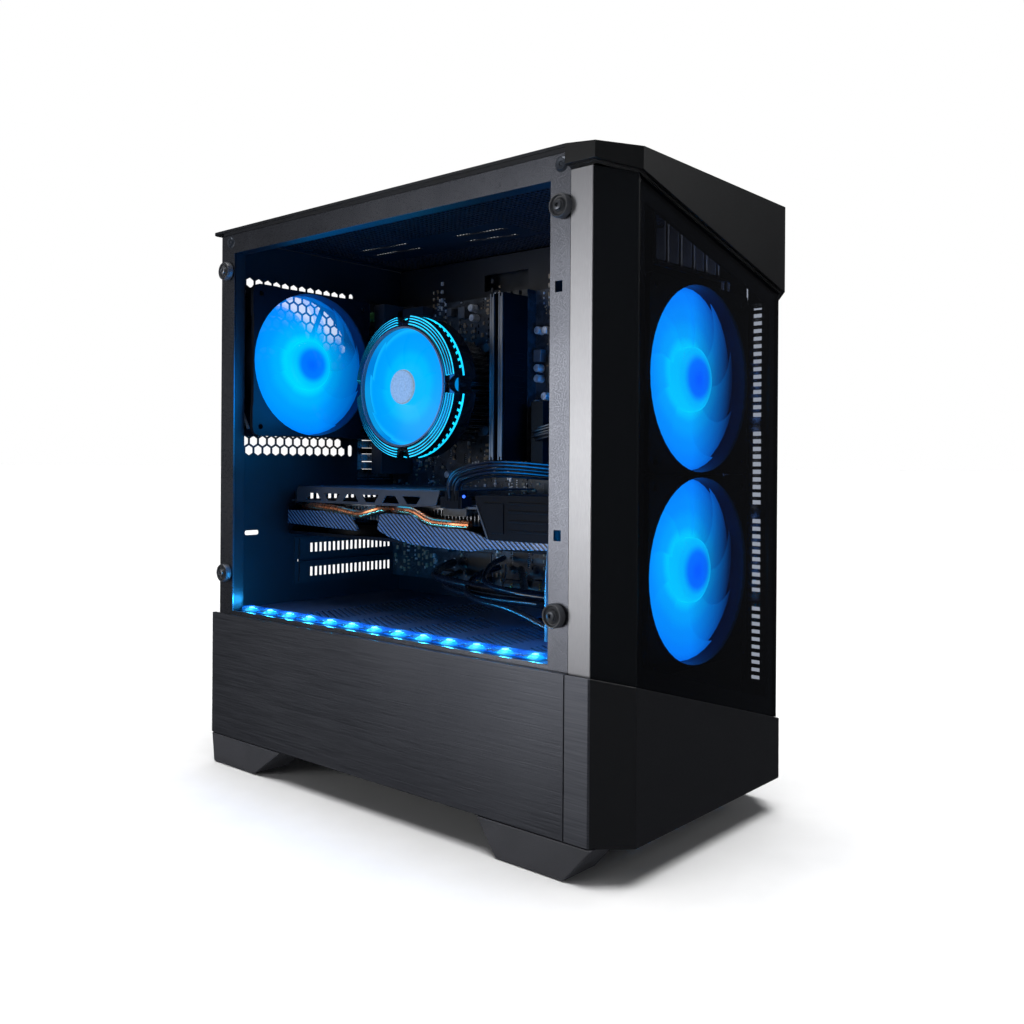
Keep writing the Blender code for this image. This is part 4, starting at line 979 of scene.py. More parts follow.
def fan_shell(name, node, centre, front):
    """A square fan frame: two flanges with rounded corners, a flared duct, struts and a motor seat."""
    u, v = centre
    half, back, duct = FAN_SIZE / 2, front + FAN_DEPTH, FAN_DUCT
    flange = 3.6
    run = [
        (half - 27, half - 0.7), (half - 22, half), (half - 6, half), (half - 1.6, half - 1.6),
        (half, half - 6), (half, half - 22), (half - 0.7, half - 27),
    ]
    outline = []
    for sx, sz in ((1, 1), (-1, 1), (-1, -1), (1, -1)):
        outline += [(u + sx * x, v + sz * z) for x, z in (run if sx * sz < 0 else run[::-1])]
    holes = [circle(centre, duct, 48)] + [circle(place, 2.2, 12) for place in fan_screws(centre)]
    form = bmesh.new()
    for low in (front, back - flange):
        plate(form, outline, holes, "y", low, low + flange)
    middle = (u, 0, v)
    wall = [
        (duct + 0.4, front + 0.6), (duct + 0.4, back - 0.6), (half - 0.7, back - 3), (half - 0.7, front + 3),
        (duct + 0.4, front + 0.6),
    ]
    turned(form, wall, middle, "y", 48)
    for angle in (35, 125, 215, 305):
        bar(form, middle, "y", angle, (18, -1.6, 1.6), (57, 6.4, 9.6), back - 3, back - 0.4)
    seat = [(0, back - 3.4), (18.6, back - 3.4), (20.4, back - 2.6), (20.4, back - 0.2), (0, back - 0.2)]
    turned(form, seat, middle, "y", 40)
    # The duct lining glows though it is no lamp: painted light, the fan's blue light on the inside of the
    # duct, dimmed towards +X as painted shade.
    lining = bmesh.new()
    flare = [
        (duct + 0.3, front), (duct - 0.5, front + 4), (duct - 0.5, back - 4), (duct + 0.3, back),
        (duct + 0.35, back - 2), (duct + 0.35, front + 2), (duct + 0.3, front),
    ]
    turned(lining, flare, middle, "y", 64)
    painted_shade = ((1, 0, 0), 0.5, -0.6, 0.6)
    lit = disc_glow(name + "_lining", middle, "y", duct, DUCT_PAINTED_LIGHT_STOPS, 0.5, (0.96, 1), painted_shade)
    piece(name + "_lining", lining, lit, smooth=60)
    piece(name, form, FAN_SHELL, replaces=node)


def case_fan(name, body, centre, front, strength, painted_shade, thin):
    fan_shell(f"{name}_fan_shell", f"{name}_fan_frame", centre, front)
    middle = (centre[0], front + 11.5, centre[1])
    form = bmesh.new()
    blades(form, middle, "y", 20.5, 57.7, 3.6, 9, root=1.7, cover=1.4, sweep=0.6, bow=0.15)
    hub = [(0, -9.4), (12, -9.2), (17.6, -8.4), (20.2, -6.6), (20.6, -4), (20.6, 8.8), (0, 8.8)]
    turned(form, hub, middle, "y", 48)
    lit = disc_glow(f"{name}_fan_light", middle, "y", FAN_DUCT, FAN_STOPS, strength, (0.93, 1), painted_shade, thin)
    piece(f"{name}_fan_blades", form, lit, body, 50, replaces=f"{name}_fan_rotor")


def case_fans():
    # Each fan's light is dimmed towards +X and its blades thinned towards one side: painted shade for the
    # duct wall that hides that side.
    right = (1, 0, 0)
    for where, height in zip(("upper", "lower"), FRONT_FANS):
        case_fan(f"front_{where}", f"front_{where}_fan", (0, height), -185.7, 2.6,
                 (right, 0.06, 0.1, 0.95), ((1, 0, 0.2), 0.35, 0.2, 0.9))
    case_fan("rear", "rear_fan", REAR_FAN, 160, 1, (right, 0.45, 0.2, 0.9), ((0.4, 0, 1), 0.74, 0.36, 0.66))
    for height in FRONT_FANS:
        lamp(f"front_lamp_{int(height)}", (0, -150, height), 1, 0.04)
    lamp("rear_lamp", (REAR_FAN[0] - 20, 128, REAR_FAN[1] - 20), 0.38, 0.04)
    form = bmesh.new()
    for route in (
        [(-86, 172, 262), (-93, 174, 285), (-95, 174, 320), (-92, 174, 350), (-88, 176, 372)],
        [(-40, -158, 232), (-60, -140, 228), (-66, -120, 190), (-60, -112, 124)],
    ):
        tube(form, route, 1.3, 6, 10)
    piece("fan_leads", form, WIRE_GREY)


# ---------------------------------------------------------------- processor cooler

COOLER = (88, 297)
COOLER_STOPS = [
    (0, "10a8ff"), (0.30, "10b4ff"), (0.50, "00b0ff"), (0.70, "009cff"), (0.88, "0098ff"), (0.97, "10b0ff"),
    (1, "0090f0"),
]


def notched_circle(radius, notch=6.2, rim=57.5, count=160):
    """A circle about the cooler's axis that steps inward round four half-round notches at its rim."""
    points = []
    for step in range(count):
        angle = math.tau * step / count
        away = angle - round(angle / (math.pi / 2)) * math.pi / 2
        side = rim * math.sin(away)
        reach = radius
        if abs(side) < notch:
            reach = min(radius, rim * math.cos(away) - math.sqrt(notch ** 2 - side ** 2))
        points.append((COOLER[0] + reach * math.cos(angle), COOLER[1] + reach * math.sin(angle)))
    return points


def quarters(form, rows):
    """Ring segments about the cooler's axis, repeated in each quarter turn."""
    for start in (0, 90, 180, 270):
        for inner, outer, low, high, first, last, steps in rows:
            arc(form, inner, outer, low, high, start + first, start + last, steps, (0, *COOLER), "x")


def cooler():
    y, z = COOLER
    origin, middle = (0, y, z), (15, y, z)
    form = bmesh.new()
    plate(form, notched_circle(57.5), [circle(COOLER, 48.4, 64)[::-1]], "x", 2.6, 9)
    plate(form, notched_circle(57.2), [circle(COOLER, 51, 64)], "x", 13.4, 27)
    quarters(form, (
        (48.4, 49.6, -0.2, 3, 0.5, 89.5, 24), (50.8, 52.1, 0.6, 3, 8, 82, 24), (53, 54.3, 1, 3, 8, 82, 24),
        (55.2, 56.3, 1.4, 3, 8, 82, 24), (49, 52, 8.8, 13.6, 18, 26, 4),
    ))
    for angle in (45, 135, 225, 315):
        bar(form, origin, "x", angle, (15, -1.6, 1.6), (52, -1.6, 1.6), 25.6, 28.4)
    turned(form, [(0, 26), (16, 26), (17, 27), (17, 29.6), (0, 29.6)], origin, "x", 32)
    piece("cooler_ring_body", form, GLOSS_BLACK, replaces="cooler_light_ring")

    form = bmesh.new()
    lip = [(46.9, -0.6), (48.3, -0.6), (48.5, 0.2), (48.5, 9), (46.9, 9), (46.9, -0.6)]
    turned(form, lip, origin, "x", 72)
    piece("cooler_ring_lip", form, LIP_BRONZE)

    form = bmesh.new()
    quarters(form, (
        (49.8, 50.8, 1.1, 3, 7.8, 82.2, 28), (52.1, 53, 1.5, 3, 7.8, 82.2, 28),
        (54.3, 55.2, 1.9, 3, 7.8, 82.2, 28), (56.3, 57.2, 2.3, 3, 7.8, 82.2, 28),
        (56.6, 57.45, 12.8, 14, 7.2, 82.8, 28), (48.2, 49.2, 2.2, 3.4, 1, 89, 28),
    ))
    teeth = 60
    for index in range(teeth):
        angle = 360 * (index + 0.5) / teeth
        if min(angle % 90, 90 - angle % 90) > 9:
            arc(form, 52.6, 56.6, 12.6, 14, angle - 0.9, angle + 0.9, 1, origin, "x")
    piece("cooler_ring_light", form, CYAN_LIGHT)

    form = bmesh.new()
    hoop(form, 46.8, 47.6, 2.4, 19, origin, "x", 72)
    lit = disc_glow("cooler_lining_light", origin, "x", 48, COOLER_STOPS, 0.75, (0.96, 1))
    piece("cooler_ring_lining", form, lit, smooth=60)
    form = bmesh.new()
    blades(form, (9, y, z), "x", 14.4, 46.6, 3.6, 9, root=1.8, cover=1.5, sweep=0.45, bow=0.15)
    turned(form, [(0, -13.4), (12.4, -13.3), (13.6, -12), (14.4, -8.6), (14.8, 9), (0, 9)], middle, "x", 40)
    lit = disc_glow("cooler_fan_light", middle, "x", 48, COOLER_STOPS, 1.08, (0.96, 1))
    piece("cooler_fan_blades", form, lit, "cooler_fan", 50, replaces="cooler_rotor")
    form = bmesh.new()
    turned(form, [(0, -14.6), (13, -14.6), (13.8, -14), (14, -13), (0, -13)], middle, "x", 48)
    for radius in (4.6, 11.2):
        hoop(form, radius, radius + 0.3, -14.75, -14.5, middle, "x", 40)
    piece("cooler_hub_disc", form, HUB_LABEL, "cooler_fan")
    lamp("cooler_lamp", (-30, y - 30, z - 30), 0.1, 0.03, (0, 0.45, 1))

    form = bmesh.new()
    drum(form, 19.5, 32, 72.5, origin, "x")
    box(form, (66, y - 20, z - 20), (73, y + 20, z + 20))
    fins = 44
    for index in range(fins):
        for lean in (-0.05, 0.05):
            out, side = 43.5 * math.cos(lean), 43.5 * math.sin(lean)
            bar(form, origin, "x", 360 * index / fins, (18, -0.5, 0.5), (out, side - 0.4, side + 0.4), 33, 65)
    piece("cooler_fin_block", form, ALUMINIUM, replaces="cooler_heatsink")

    form = bmesh.new()
    for sy in (-1, 1):
        box(form, (68, y + sy * 24 - 3, z - 34), (70, y + sy * 24 + 3, z + 34))
        left, right = (y + 21, y + 40) if sy > 0 else (y - 40, y - 21)
        for sz in (-1, 1):
            place = (0, y + sy * 37, z + sz * 34)
            rod(form, (72, *place[1:]), "x", 3, 12, 16)
            turned(form, [(0, 60), (3.6, 60), (4, 61), (4, 64), (0, 64)], place, "x", 20)
            box(form, (68.2, left, z + sz * 34 - 4), (70.2, right, z + sz * 34 + 4))
    piece("cooler_mount", form, DULL_STEEL)


# ---------------------------------------------------------------- board

BOARD_FACE = 80
SMALL_PARTS = 620


def board():
    """Small parts on the main board, each kind in one piece."""
    face = BOARD_FACE
    rng = random.Random(7)
    taken = [
        (44, 134, 198, 210), (104, 134, 157, 169), (-15, 0, 228, 290), (56, 120, 263, 331),
        (10, 34, 226, 378), (158, 185, 222, 380), (44, 52, 252, 342), (124, 132, 252, 342),
    ]

    def take(y0, y1, z0, z1, gap):
        taken.append((y0 - gap, y1 + gap, z0 - gap, z1 + gap))

    def free(y0, y1, z0, z1):
        return all(y1 < a or y0 > b or z1 < c or z0 > d for a, b, c, d in taken)

    caps, cans, chips, chokes, pale, golds = (bmesh.new() for _ in range(6))
    for row in range(7):
        y, z = 150, 262 + row * 15
        box(chokes, (70, y - 5.5, z - 5.5), (face, y + 5.5, z + 5.5))
        box(pale, (69.6, y - 3.2, z - 3.2), (70.1, y + 3.2, z + 3.2))
        take(y, y, z, z, 6)
    for y, z, wide, tall in ((107, 367, 3, 3.5), (92, 365.5, 4, 5), (7, 323, 4, 5)):
        box(chokes, (73, y - wide, z - tall), (face, y + wide, z + tall))
        take(y - wide, y + wide, z - tall, z + tall, 1)
    can = [(0, 72.6), (2.7, 72.6), (3.1, 73.2), (3.1, 78.6), (3.3, 79), (3.3, face + 0.4), (0, face + 0.4)]
    for y, z in [(138, 255 + 17 * i) for i in range(7)] + [
        (81, 368.5), (79.5, 360), (7.4, 343.4), (-0.4, 343), (7.6, 313), (7.6, 304.6), (-0.2, 290),
        (8, 284.4), (-0.4, 280.6), (40, 236), (52, 232), (96, 226), (108, 226),
    ]:
        turned(cans, can, (0, y, z), "x", 18)
        take(y, y, z, z, 4)
    for y0, y1, z0, z1, height in (
        (136, 152, 176, 192, 2), (60, 86, 140, 160, 1.6), (20, 36, 150, 166, 1.4), (92, 100, 236, 244, 1.6),
        (146, 156, 204, 214, 1.4), (-4, 4, 212, 220, 1.4), (40, 54, 176, 186, 1.6), (110, 122, 240, 248, 1.2),
    ):
        box(chips, (face - height, y0, z0), (face + 0.4, y1, z1))
        for step in range(int((z1 - z0) / 1.6)):
            z = z0 + 0.6 + step * 1.6
            for y in (y0 - 0.9, y1):
                box(pale, (face - 0.6, y, z), (face + 0.2, y + 0.9, z + 0.6))
        take(y0, y1, z0, z1, 2)
    for y0, y1, z0, z1 in (
        (-14, -6, 300, 322), (-14, -6, 330, 344), (-14, -8, 180, 196), (-14, -6, 204, 222),
        (100, 118, 136, 142), (60, 76, 134, 140), (20, 40, 134, 140), (-8, 8, 134, 142),
        (150, 172, 370, 377), (30, 42, 370, 377),
    ):
        box(chips, (face - 8.5, y0, z0), (face + 0.4, y1, z1))
        pins, y = max(2, int((z1 - z0) / 2.6)), (y0 + y1) / 2
        for step in range(pins):
            z = z0 + 1 + step * (z1 - z0 - 2) / pins
            box(golds, (face - 10.5, y - 0.4, z), (face - 8.4, y + 0.4, z + 0.8))
        take(y0, y1, z0, z1, 1)
    small = 0
    while small < SMALL_PARTS:
        y, z = rng.uniform(-14, 182), rng.uniform(136, 375)
        wide, tall, height = rng.choice(((1.8, 1, 0.7), (2.6, 1.5, 1), (3.4, 2.2, 1.2), (1.2, 0.7, 0.5)))
        if rng.random() < 0.5:
            wide, tall = tall, wide
        if free(y - wide, y + wide, z - tall, z + tall):
            target = rng.choice((caps, caps, pale, chips))
            for copy in range(rng.choice((1, 1, 3, 4))):
                base = z + copy * (tall * 2 + 0.5)
                if free(y - wide, y + wide, base - 1, base + tall + 1):
                    box(target, (face - height, y - wide / 2, base), (face + 0.3, y + wide / 2, base + tall))
            small += 1
    for name, form, material, edge in (
        ("ceramics", caps, BROWN, 0), ("capacitors", cans, PART_PALE, 0), ("chips", chips, CHIP_BLACK, 0),
        ("chokes", chokes, PART_GREY, 0.6), ("terminals", pale, PART_PALE, 0), ("pins", golds, GOLD, 0),
    ):
        piece("board_" + name, form, material, edge=edge)

    form = bmesh.new()
    box(form, (60, 158, 262), (face - 1, 159.4, 372))
    box(form, (66, 132, 366), (79, 158, 374))
    box(form, (68, 142, 176), (77, 176, 196))
    for step in range(9):
        box(form, (66.4, 143 + step * 3.7, 177), (68.2, 145 + step * 3.7, 195))
    piece("board_heat_spreaders", form, RAIL_GREY, edge=0.4)

    form = bmesh.new()
    for middle in (26.5, 17.5, 35.5, 44.5):
        box(form, (70.6, middle - 3.6, 231.6), (79.9, middle + 3.6, 236.6))
        box(form, (69.4, middle - 3, 372.4), (79.9, middle + 3, 377))
    for row in range(11):
        for y in (-12.4, -7):
            box(form, (67.6, y, 233 + row * 4.6), (68.3, y + 4.2, 236.4 + row * 4.6))
    piece("board_sockets", form, BLACK_PLASTIC, edge=0.2)


def memory():
    for number in (1, 2):
        node = f"memory_stick_{number}"
        low, high = corners(node)
        middle = (low.y + high.y) / 2
        form = bmesh.new()
        outline = [(low.x + inward, low.z + rise) for inward, rise in ((2, 0), (0.9, 6), (0.9, 34), (3, 40))]
        outline += [(x, high.z + low.z - z) for x, z in outline[::-1]] + [(70, high.z), (70, low.z)]
        for near in (middle - 3, middle + 1.2):
            plate(form, outline, [], "y", near, near + 1.8)
        box(form, (low.x + 3, middle - 1.3, low.z), (high.x, middle + 1.3, high.z))
        for step in range(5):
            z = low.z + 46 + step * 9
            for y in (middle - 3.2, middle + 3.2):
                box(form, (low.x + 8, y - 0.3, z), (66, y + 0.3, z + 4))
        piece(f"memory_spreader_{number}", form, CARD_DARK, edge=0.3, replaces=node)
        form = bmesh.new()
        for y in (middle - 2.2, middle + 0.8):
            box(form, (low.x, y, low.z + 0.5), (low.x + 1, y + 1.4, high.z - 0.5))
        box(form, (low.x + 0.4, middle - 0.9, low.z + 3), (low.x + 1.4, middle + 0.9, high.z - 3))
        piece(f"memory_edge_{number}", form, DULL_STEEL, edge=0.2)


# ---------------------------------------------------------------- graphics card

CARD_FANS = {"rear": 118, "front": 12}


def graphics_card():
    outer, face = -40, -41.2
    form = bmesh.new()
    outline = [
        (168.5, 214.6), (168.5, 203.4), (150, 203.4), (28, 203.4), (6.2, 205.4), (2.3, 215.4), (157.9, 216.3),
    ]
    holes = []
    for index in range(6):
        start = 22 + index * 23
        wide, narrow = (start, start + 19), (start + 4.5, start + 14.5)
        below, above = (wide, narrow) if index % 2 else (narrow, wide)
        holes.append([(below[0], 205.4), (below[1], 205.4), (above[1], 211), (above[0], 211)])
    plate(form, outline, holes, "x", face, outer)
    box(form, (outer - 0.6, 3, 215), (66, 168, 216.2))
    for y in (20, 62, 150):
        for x in (-30, 50):
            rod(form, (x, y, 216.6), "z", 2.4, 0.8, 16)
    piece("gpu_back_rail", form, RAIL_GREY, edge=0.25, replaces="gpu_backplate")

    form = bmesh.new()
    for step in range(60):
        y = -48 + step * 3.7
        box(form, (-30, y, 191), (60, y + 0.7, 201.6))
    box(form, (-28, -46, 200.6), (58, 170, 202.6))
    piece("gpu_fin_stack", form, ALUMINIUM, replaces="gpu_heatsink")

    form = bmesh.new()
    for route in (
        [(-31, 170, 200), (-38, 152, 200.6), (-39.6, 134, 199.9), (-39.8, 118, 198.9), (-39.8, 102, 196.8),
         (-39.8, 90, 196), (-39.6, 81, 197.8), (-37, 70, 200.6), (-30, 60, 200.6)],
        [(-31, 60, 200), (-37.6, 50, 201), (-39.6, 40, 201), (-39.8, 31, 200.2), (-39.8, 23, 197.4),
         (-39.8, 16, 194.6), (-39.8, 8, 193), (-39.8, -2, 192.6), (-39.6, -12, 192.4), (-37, -24, 192.2)],
    ):
        tube(form, route, 3.2)
    piece("gpu_copper_pipes", form, COPPER, replaces="gpu_heat_pipe")

    form = bmesh.new()
    for part in (
        [(180, 185.2), (180, 196.2), (132, 197.2), (99, 194.8), (93, 185.8), (91.5, 183)],
        [(69, 184.8), (66.2, 196.6), (60, 197.4), (29, 197.4), (18, 191.4), (8, 189.8), (-22, 189.2),
         (-33, 187.4), (-46.4, 183.3), (-99, 183.6), (-99, 179), (-42, 176.6), (-28, 174.2),
         (30, 175.6), (56, 180.2)],
    ):
        plate(form, part, [], "x", face - 0.4, outer + 0.8)
    piece("gpu_side_band", form, CARBON, edge=0.3)

    form = bmesh.new()
    holes = [circle((13, y), 46.5, 56) for y in CARD_FANS.values()]
    plate(form, rectangle((outer - 0.4, -98), (66, 179.6)), holes, "z", 176.4, 179)
    box(form, (64, -98, 178), (66, 179.6, 190))
    box(form, (outer, 178, 178), (66, 179.8, 200))
    collar = [(46.4, 176.6), (48.4, 176.2), (48.4, 186.6), (46.4, 186.6), (46.4, 176.6)]
    for y in CARD_FANS.values():
        place = (13, y, 0)
        turned(form, collar, place, "z", 56)
        drum(form, 15.6, 186.2, 189, place, "z", 28)
        for angle in (20, 140, 260):
            bar(form, place, "z", angle, (15, -1.5, 1.5), (47, -1.5, 1.5), 186.6, 188.8)
    piece("gpu_fan_cover", form, CARD_DARK, edge=0.2, replaces="gpu_shroud")

    form = bmesh.new()
    wedge = [(-33, 213.2), (-34.6, 204), (-43.6, 183.6), (-99.4, 183.6), (-99.4, 214.4), (-40, 214)]
    plate(form, wedge, [], "x", face - 1, outer + 4)
    box(form, (outer + 2, -99.4, 212), (60, -60, 214.4))
    box(form, (outer + 2, -99.4, 184), (62, -97, 214.2))
    for z in (189.5, 196, 202.5, 208):
        box(form, (face - 1.5, -98.6, z), (face - 0.9, -64, z + 1.6))
    panel = [(-42, 208.6), (-38.6, 203), (-47.4, 188), (-60, 188), (-60, 208.6)]
    plate(form, panel, [], "x", face - 1.7, face - 0.9)
    piece("gpu_end_cover", form, CARD_DARK, edge=0.35)
    form = bmesh.new()
    strip = [(-34, 207), (-35.4, 207), (-46.6, 184), (-44.8, 184)]
    plate(form, strip, [], "x", face - 1.6, face - 0.8)
    piece("gpu_edge_strip", form, RAIL_GREY, edge=0.2)

    form = bmesh.new()
    box(form, (outer - 1, -19.5, 204), (-31, 2, 212))
    box(form, (outer - 1.6, -17, 203.4), (-33, -3, 216.5))
    for step in range(4):
        box(form, (outer - 2, -16 + step * 3.3, 209), (outer - 1.2, -13.8 + step * 3.3, 215.6))
    piece("gpu_power_plug", form, CARD_DARK, edge=0.3)
    form = bmesh.new()
    rod(form, (outer - 1.4, -21.8, 212.4), "x", 1.1, 0.8, 12)
    piece("gpu_status_light", form, STATUS_BLUE)

    hub = [(0, -4.3), (13, -4.2), (15.2, -3.2), (15.6, -1.6), (15.6, 4.3), (0, 4.3)]
    for where, y in CARD_FANS.items():
        form = bmesh.new()
        middle = (13, y, 180.2)
        blades(form, middle, "z", 15.4, 44.5, 7.6, 11, cover=1, sweep=0.45)
        turned(form, hub, middle, "z", 40)
        hoop(form, 10.6, 11.4, -4.45, -4.1, middle, "z", 40)
        piece(f"gpu_{where}_fan_blades", form, CARD_DARK, f"gpu_{where}_fan", 50,
              replaces=f"gpu_{where}_rotor")

    ports = (-12, 8, 28, 48)
    holes = [rectangle((-22 + 6.4 * i, 205), (-18.4 + 6.4 * i, 210)) for i in range(13)]
    holes += [rectangle((x, 182), (x + 15, 189)) for x in ports]
    sheet("gpu_slot_bracket", "gpu_bracket", DULL_STEEL, holes, "y")
    form = bmesh.new()
    for x in ports:
        sleeve(form, (x + 0.2, 182.2), (x + 14.8, 188.8), 1, 180.5, 185)
        box(form, (x + 2.6, 180.6, 185.1), (x + 12.4, 184.6, 186.1))
    piece("gpu_sockets", form, STEEL)


# ---------------------------------------------------------------- cables and light strip

FIRST_LAMP = 160
LAMP_STEP = 24
LAMPS = 13


def cables():
    form = bmesh.new()
    bundle(form, [
        (40, 52, 65), (40, 24, 65), (60, -4, 66), (81, -20, 72), (95, -36, 84),
        (95.4, -62, 120), (95.4, -80, 180), (94, -82, 232), (84, -80, 256),
        (68, -66, 266), (54, -42, 265), (50, -18, 260), (56, -8.5, 258.5), (67.6, -7.5, 258.5),
    ], 14, 4.3, 1.05, 1.5)
    piece("main_power_wires", form, WIRE_BLACK, replaces="main_power_cable")
    form = bmesh.new()
    bundle(form, [
        (-37, -9.5, 212), (-38, -9.5, 220), (-34, -14, 227), (-18, -28, 231.5),
        (14, -46, 230), (46, -60, 226), (70, -76, 214), (77, -88, 190),
        (76, -96, 150), (72, -98, 116), (60, -88, 92), (40, -40, 80), (30, 14, 72),
        (30, 52, 70),
    ], 12, 5, 1, 1.2)
    piece("card_power_wires", form, WIRE_BLACK, replaces="gpu_power_cable")
    form = bmesh.new()
    box(form, (56, -13.6, 232), (68.4, -1.4, 285))
    piece("main_power_plug", form, CARD_DARK, edge=0.4)
    form = bmesh.new()
    for radius, route in (
        (2.6, [(70, 44, 150), (40, 40, 146), (6, 20, 138), (-16, -16, 136), (-26, -56, 134),
               (-30, -104, 121)]),
        (2.2, [(72, 40, 158), (44, 30, 154), (10, 4, 146), (0, -36, 142), (10, -84, 138), (44, -112, 122)]),
        (3, [(70, 20, 150), (50, 0, 144), (20, -30, 136), (6, -70, 134), (14, -106, 121)]),
        (3.4, [(74, 100, 150), (50, 92, 147), (24, 70, 144), (16, 20, 141), (14, -40, 140), (20, -96, 138),
               (40, -110, 122)]),
        (2.8, [(74, 92, 142), (44, 80, 139), (20, 50, 136), (12, 0, 134), (12, -60, 133), (18, -108, 121)]),
    ):
        tube(form, route, radius)
    piece("sleeved_leads", form, SLEEVE)
    form = bmesh.new()
    for radius, per_span, sides, route in (
        (0.8, 10, 8, [(74, 40, 152), (60, 28, 146), (46, 18, 138), (38, 0, 134), (30, -24, 134),
                      (24, -46, 132), (18, -62, 121)]),
        (1.3, 6, 10, [(72, -6, 140), (60, -20, 156), (44, -52, 162), (46, -90, 150), (60, -112, 122)]),
        (1.3, 6, 10, [(72, -2, 140), (62, -18, 160), (50, -50, 166), (54, -86, 152), (66, -108, 122)]),
    ):
        tube(form, route, radius, per_span, sides)
    piece("thin_leads", form, WIRE_GREY)


def light_strip():
    low, high = corners("led_strip")
    middle, base = (low.x + high.x) / 2, low.z + 1.1
    form = bmesh.new()
    plate(form, rounded((low.x, low.z), (high.x, low.z + 4), 1.6, 5), [], "y", low.y, high.y)
    clear = strip_finish("led_sleeve_light", 0.55, 0.35)
    piece("led_sleeve", form, clear, replaces="led_strip")
    form = bmesh.new()
    box(form, (low.x + 1.4, low.y + 1, low.z + 0.7), (high.x - 1.4, high.y - 1, base))
    piece("led_tape", form, strip_finish("led_tape_light", 1.6, 1))
    chips, halos, dark = (bmesh.new() for _ in range(3))
    for index in range(LAMPS):
        y = FIRST_LAMP - index * LAMP_STEP
        box(chips, (middle - 1.5, y - 1.5, base), (middle + 1.5, y + 1.5, low.z + 3.6))
        turned(halos, [(0, 0), (5.2, 0), (4.4, 0.9), (2.4, 1.8), (0, 1.9)], (middle, y, low.z + 1.2), "z", 20)
        box(dark, (middle - 2.4, y + 7, base), (middle + 2.4, y + 9, low.z + 1.8))
        box(dark, (middle - 2.4, y - 11.6, base), (middle + 2.4, y - 10, low.z + 1.6))
        power = 0.04 if index < 2 else 0.08
        lamp(f"led_lamp_{index}", (middle - 1, y, low.z + 8), power, 0.003, (0.02, 0.40, 1))
    piece("led_chips", chips, LED_WHITE)
    piece("led_halos", halos, LED_BLUE)
    piece("led_resistors", dark, CHIP_BLACK)


# ---------------------------------------------------------------- power supply and rear ports

def power_supply():
    high = corners("psu_case")[1]
    form = bmesh.new()
    holes = hexagons((-62, 61), (32, 101), 6.4, 5.6)
    plate(form, rectangle((-65.5, 57.6), (35.5, 104.4)), holes, "y", high.y - 1.4, high.y + 0.2)
    piece("psu_grille", form, BLACK_STEEL)
    form = bmesh.new()
    centre, middle = (5, 112, 0), (5, 112, 39)
    for ring in range(6):
        radius = 9 + ring * 9
        hoop(form, radius - 0.8, radius + 0.8, 23.4, 25, centre, "z")
    for angle in range(0, 360, 45):
        bar(form, centre, "z", angle, (6, -0.8, 0.8), (55.6, -0.8, 0.8), 23.6, 25.1)
    drum(form, 10, 23.5, 24.6, centre, "z")
    piece("psu_fan_guard", form, DULL_STEEL)
    form = bmesh.new()
    blades(form, middle, "z", 17.4, 53, 13, 9, cover=1.05)
    turned(form, [(0, -7.8), (14, -7.6), (17.2, -6.2), (17.8, -3), (17.8, 7.8), (0, 7.8)], middle, "z", 40)
    piece("psu_fan_blades", form, BLACK_PLASTIC, "psu_fan", 50, replaces="psu_rotor")
    form = bmesh.new()
    lattice(form, (-52.5, 59.5), (62.5, 176.5), 3, 2.2, 20.3, 0.4)
    piece("psu_filter_mesh", form, BLACK_PLASTIC, "psu_filter")
    form = bmesh.new()
    for x, z in ((49, 91), (56, 87), (63, 91)):
        box(form, (x - 1.1, 168, z - 2.2), (x + 1.1, 181.5, z + 2.2))
    piece("inlet_pins", form, STEEL, edge=0.3)


def sleeve(form, low, high, wall, near, far):
    """A rectangular tube along y, between two (x, z) corners."""
    inner = rectangle((low[0] + wall, low[1] + wall), (high[0] - wall, high[1] - wall))
    plate(form, rectangle(low, high), [inner], "y", near, far)


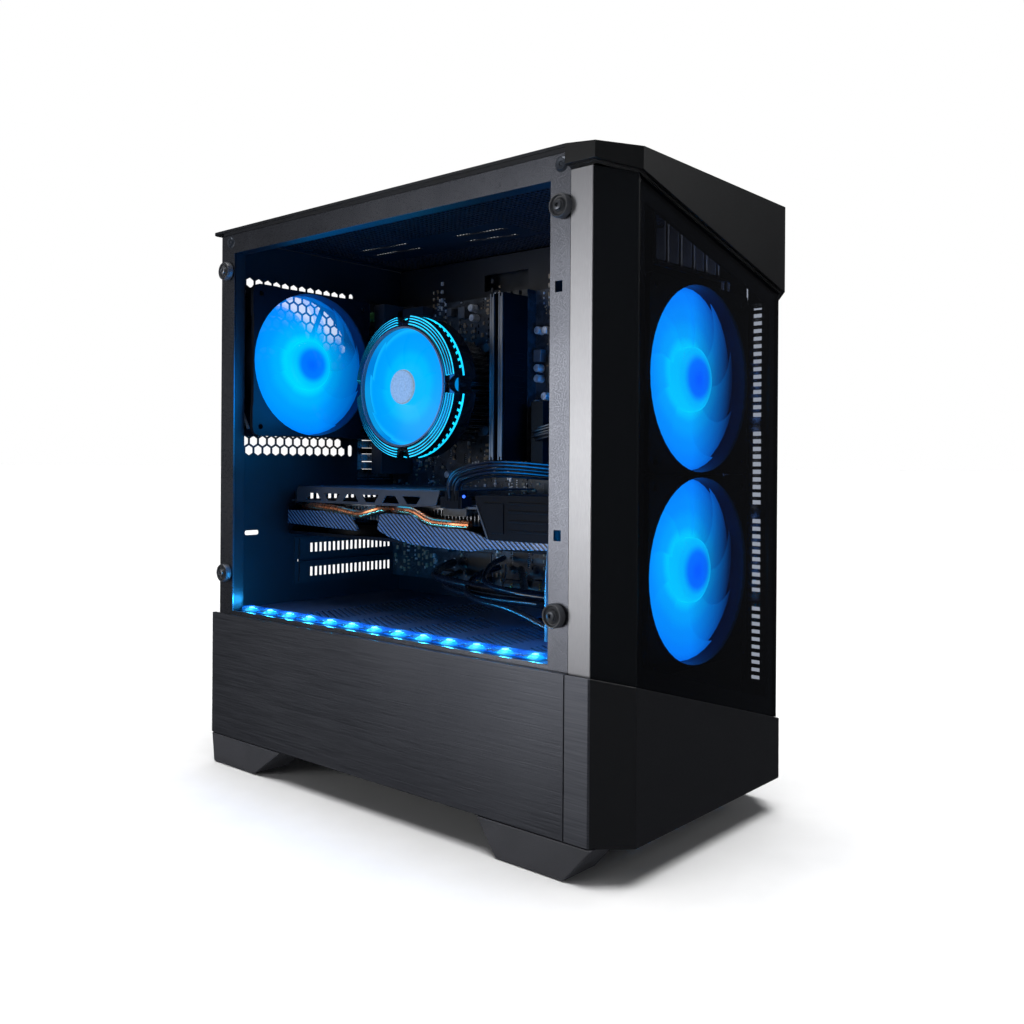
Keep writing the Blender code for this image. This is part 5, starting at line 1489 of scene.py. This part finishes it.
def rear_ports():
    double = [(44, 230, 60, 244), (44, 249, 60, 263), (44, 270, 60, 284), (64, 270, 76, 284)]
    single = [(46, 300, 72, 310), (46, 316, 60, 324)]
    jacks = [(50, 366.5), (64, 366.5)]
    holes = [rectangle((a, b), (c, d)) for a, b, c, d in double + single]
    holes += [circle(p, 4.6, 20) for p in jacks] + [rounded((45, 332), (74, 350), 1)]
    form = bmesh.new()
    plate(form, rounded((36.5, 219.5), (84, 381.5), 2), holes, "y", 186.6, 187.3)
    piece("port_shield", form, STEEL)
    shells, tongues, rings, housing = (bmesh.new() for _ in range(4))
    for a, bottom, c, _ in double:
        for b in (bottom, bottom + 7):
            outline = rectangle((a + 0.4, b + 0.3), (c - 0.4, b + 6.6))
            plate(shells, outline, [rectangle((a + 1.2, b + 1), (c - 1.2, b + 5.9))], "y", 172, 188.2)
            box(tongues, (a + 2, 172, b + 3.6), (c - 2, 186.6, b + 5.2))
            box(tongues, (a + 0.6, 171, b + 0.5), (c - 0.6, 172.4, b + 6.4))
    for a, b, c, d in single:
        sleeve(shells, (a + 0.3, b + 0.3), (c - 0.3, d - 0.3), 0.9, 172, 188)
        box(tongues, (a + 3, 172, (b + d) / 2 - 1), (c - 3, 186, (b + d) / 2 + 1))
        box(tongues, (a + 0.6, 171, b + 0.6), (c - 0.6, 172.4, d - 0.6))
    sleeve(shells, (45.4, 332.4), (73.6, 349.6), 1.2, 172, 188)
    box(tongues, (46, 170, 333), (73, 174, 349))
    for step in range(8):
        box(shells, (51 + step * 2.2, 174, 345), (51.8 + step * 2.2, 184, 347.6))
    ring = [(2, 172), (4.4, 172), (4.4, 188.2), (3.6, 188.4), (2, 187.6), (2, 172)]
    for x, z in jacks:
        turned(rings, ring, (x, 0, z), "y", 24)
    for bottom, top, near in ((226, 292, 42), (296, 328, 44), (330, 376, 44)):
        box(housing, (near, 158, bottom), (79.7, 171.2, top))
    piece("port_housings", housing, CHIP_BLACK, edge=0.4)
    piece("port_shells", shells, STEEL, replaces="rear_ports")
    piece("port_tongues", tongues, PORT_BLUE)
    piece("port_jacks", rings, JACK_GREEN)


# ---------------------------------------------------------------- bezel

def seam_strip(form, half, chamfer_y, front_half, front_y, inset, seam, low, high):
    """A dark strip inside the bezel that closes a slanted seam from behind, painted shade that keeps the seam
    dark.
    """
    rings = []
    for sx, place in ((-1, 0), (-1, 1), (-1, 2), (1, 2), (1, 1), (1, 0)):
        ring = []
        for back, rise in ((0, low), (inset, low), (inset, high), (0, high)):
            x = sx * (front_half - back * 0.5 if place == 2 else half - back)
            y = (-162, chamfer_y + back * 0.5, front_y + back)[place]
            ring.append((x, y, seam(x) + rise))
        rings.append(ring)
    loft(form, rings)


def bezel_details():
    """Dark strips behind the bezel's seams (painted shade), socket tongues and button marks on the cap."""
    form = bmesh.new()
    # Painted shade: dark rubber strips close the seams from behind, so that they show dark.
    seam_strip(form, 102.4, -176.9, 85.6, -195.4, 2, lambda x: 117 - 0.28 * (x + 105), -3, 0.2)
    seam_strip(form, 105, -181.4, 85.4, -197.8, 3.2, lambda x: 404.2 - 0.26 * (x + 107.6), -0.2, 3)
    piece("bezel_seam_shade_strips", form, RUBBER, "front_bezel")
    form = bmesh.new()
    for x in (-24, -4, 16):
        box(form, (x + 2.4, -178.8, 404.4), (x + 11.2, -177.2, 412.6))
    piece("front_socket_tongues", form, SOCKET_BLUE, "front_bezel")
    form = bmesh.new()
    for x in (38, 50):
        hoop(form, 1.8, 2.1, 404, 413.9, (x, -178, 0), "z", 24)
    piece("front_jack_rings", form, STEEL, "front_bezel")
    form = bmesh.new()
    low, high = corners("power_button")
    centre = ((low.x + high.x) / 2, (low.y + high.y) / 2, high.z)
    hoop(form, 4.2, 4.9, -0.2, 0.1, centre, "z", 40)
    piece("power_button_ring", form, CYAN_LIGHT, "power_button")


for build in (
    stage, studio_lights, camera, kept_nodes, rear_panel, side_details, front_wall, top_panel, top_filter,
    psu_shroud, slot_covers, glass_posts, thumbscrews, case_fans, cooler, board, memory, graphics_card,
    cables, light_strip, power_supply, rear_ports, bezel_details,
):
    build()
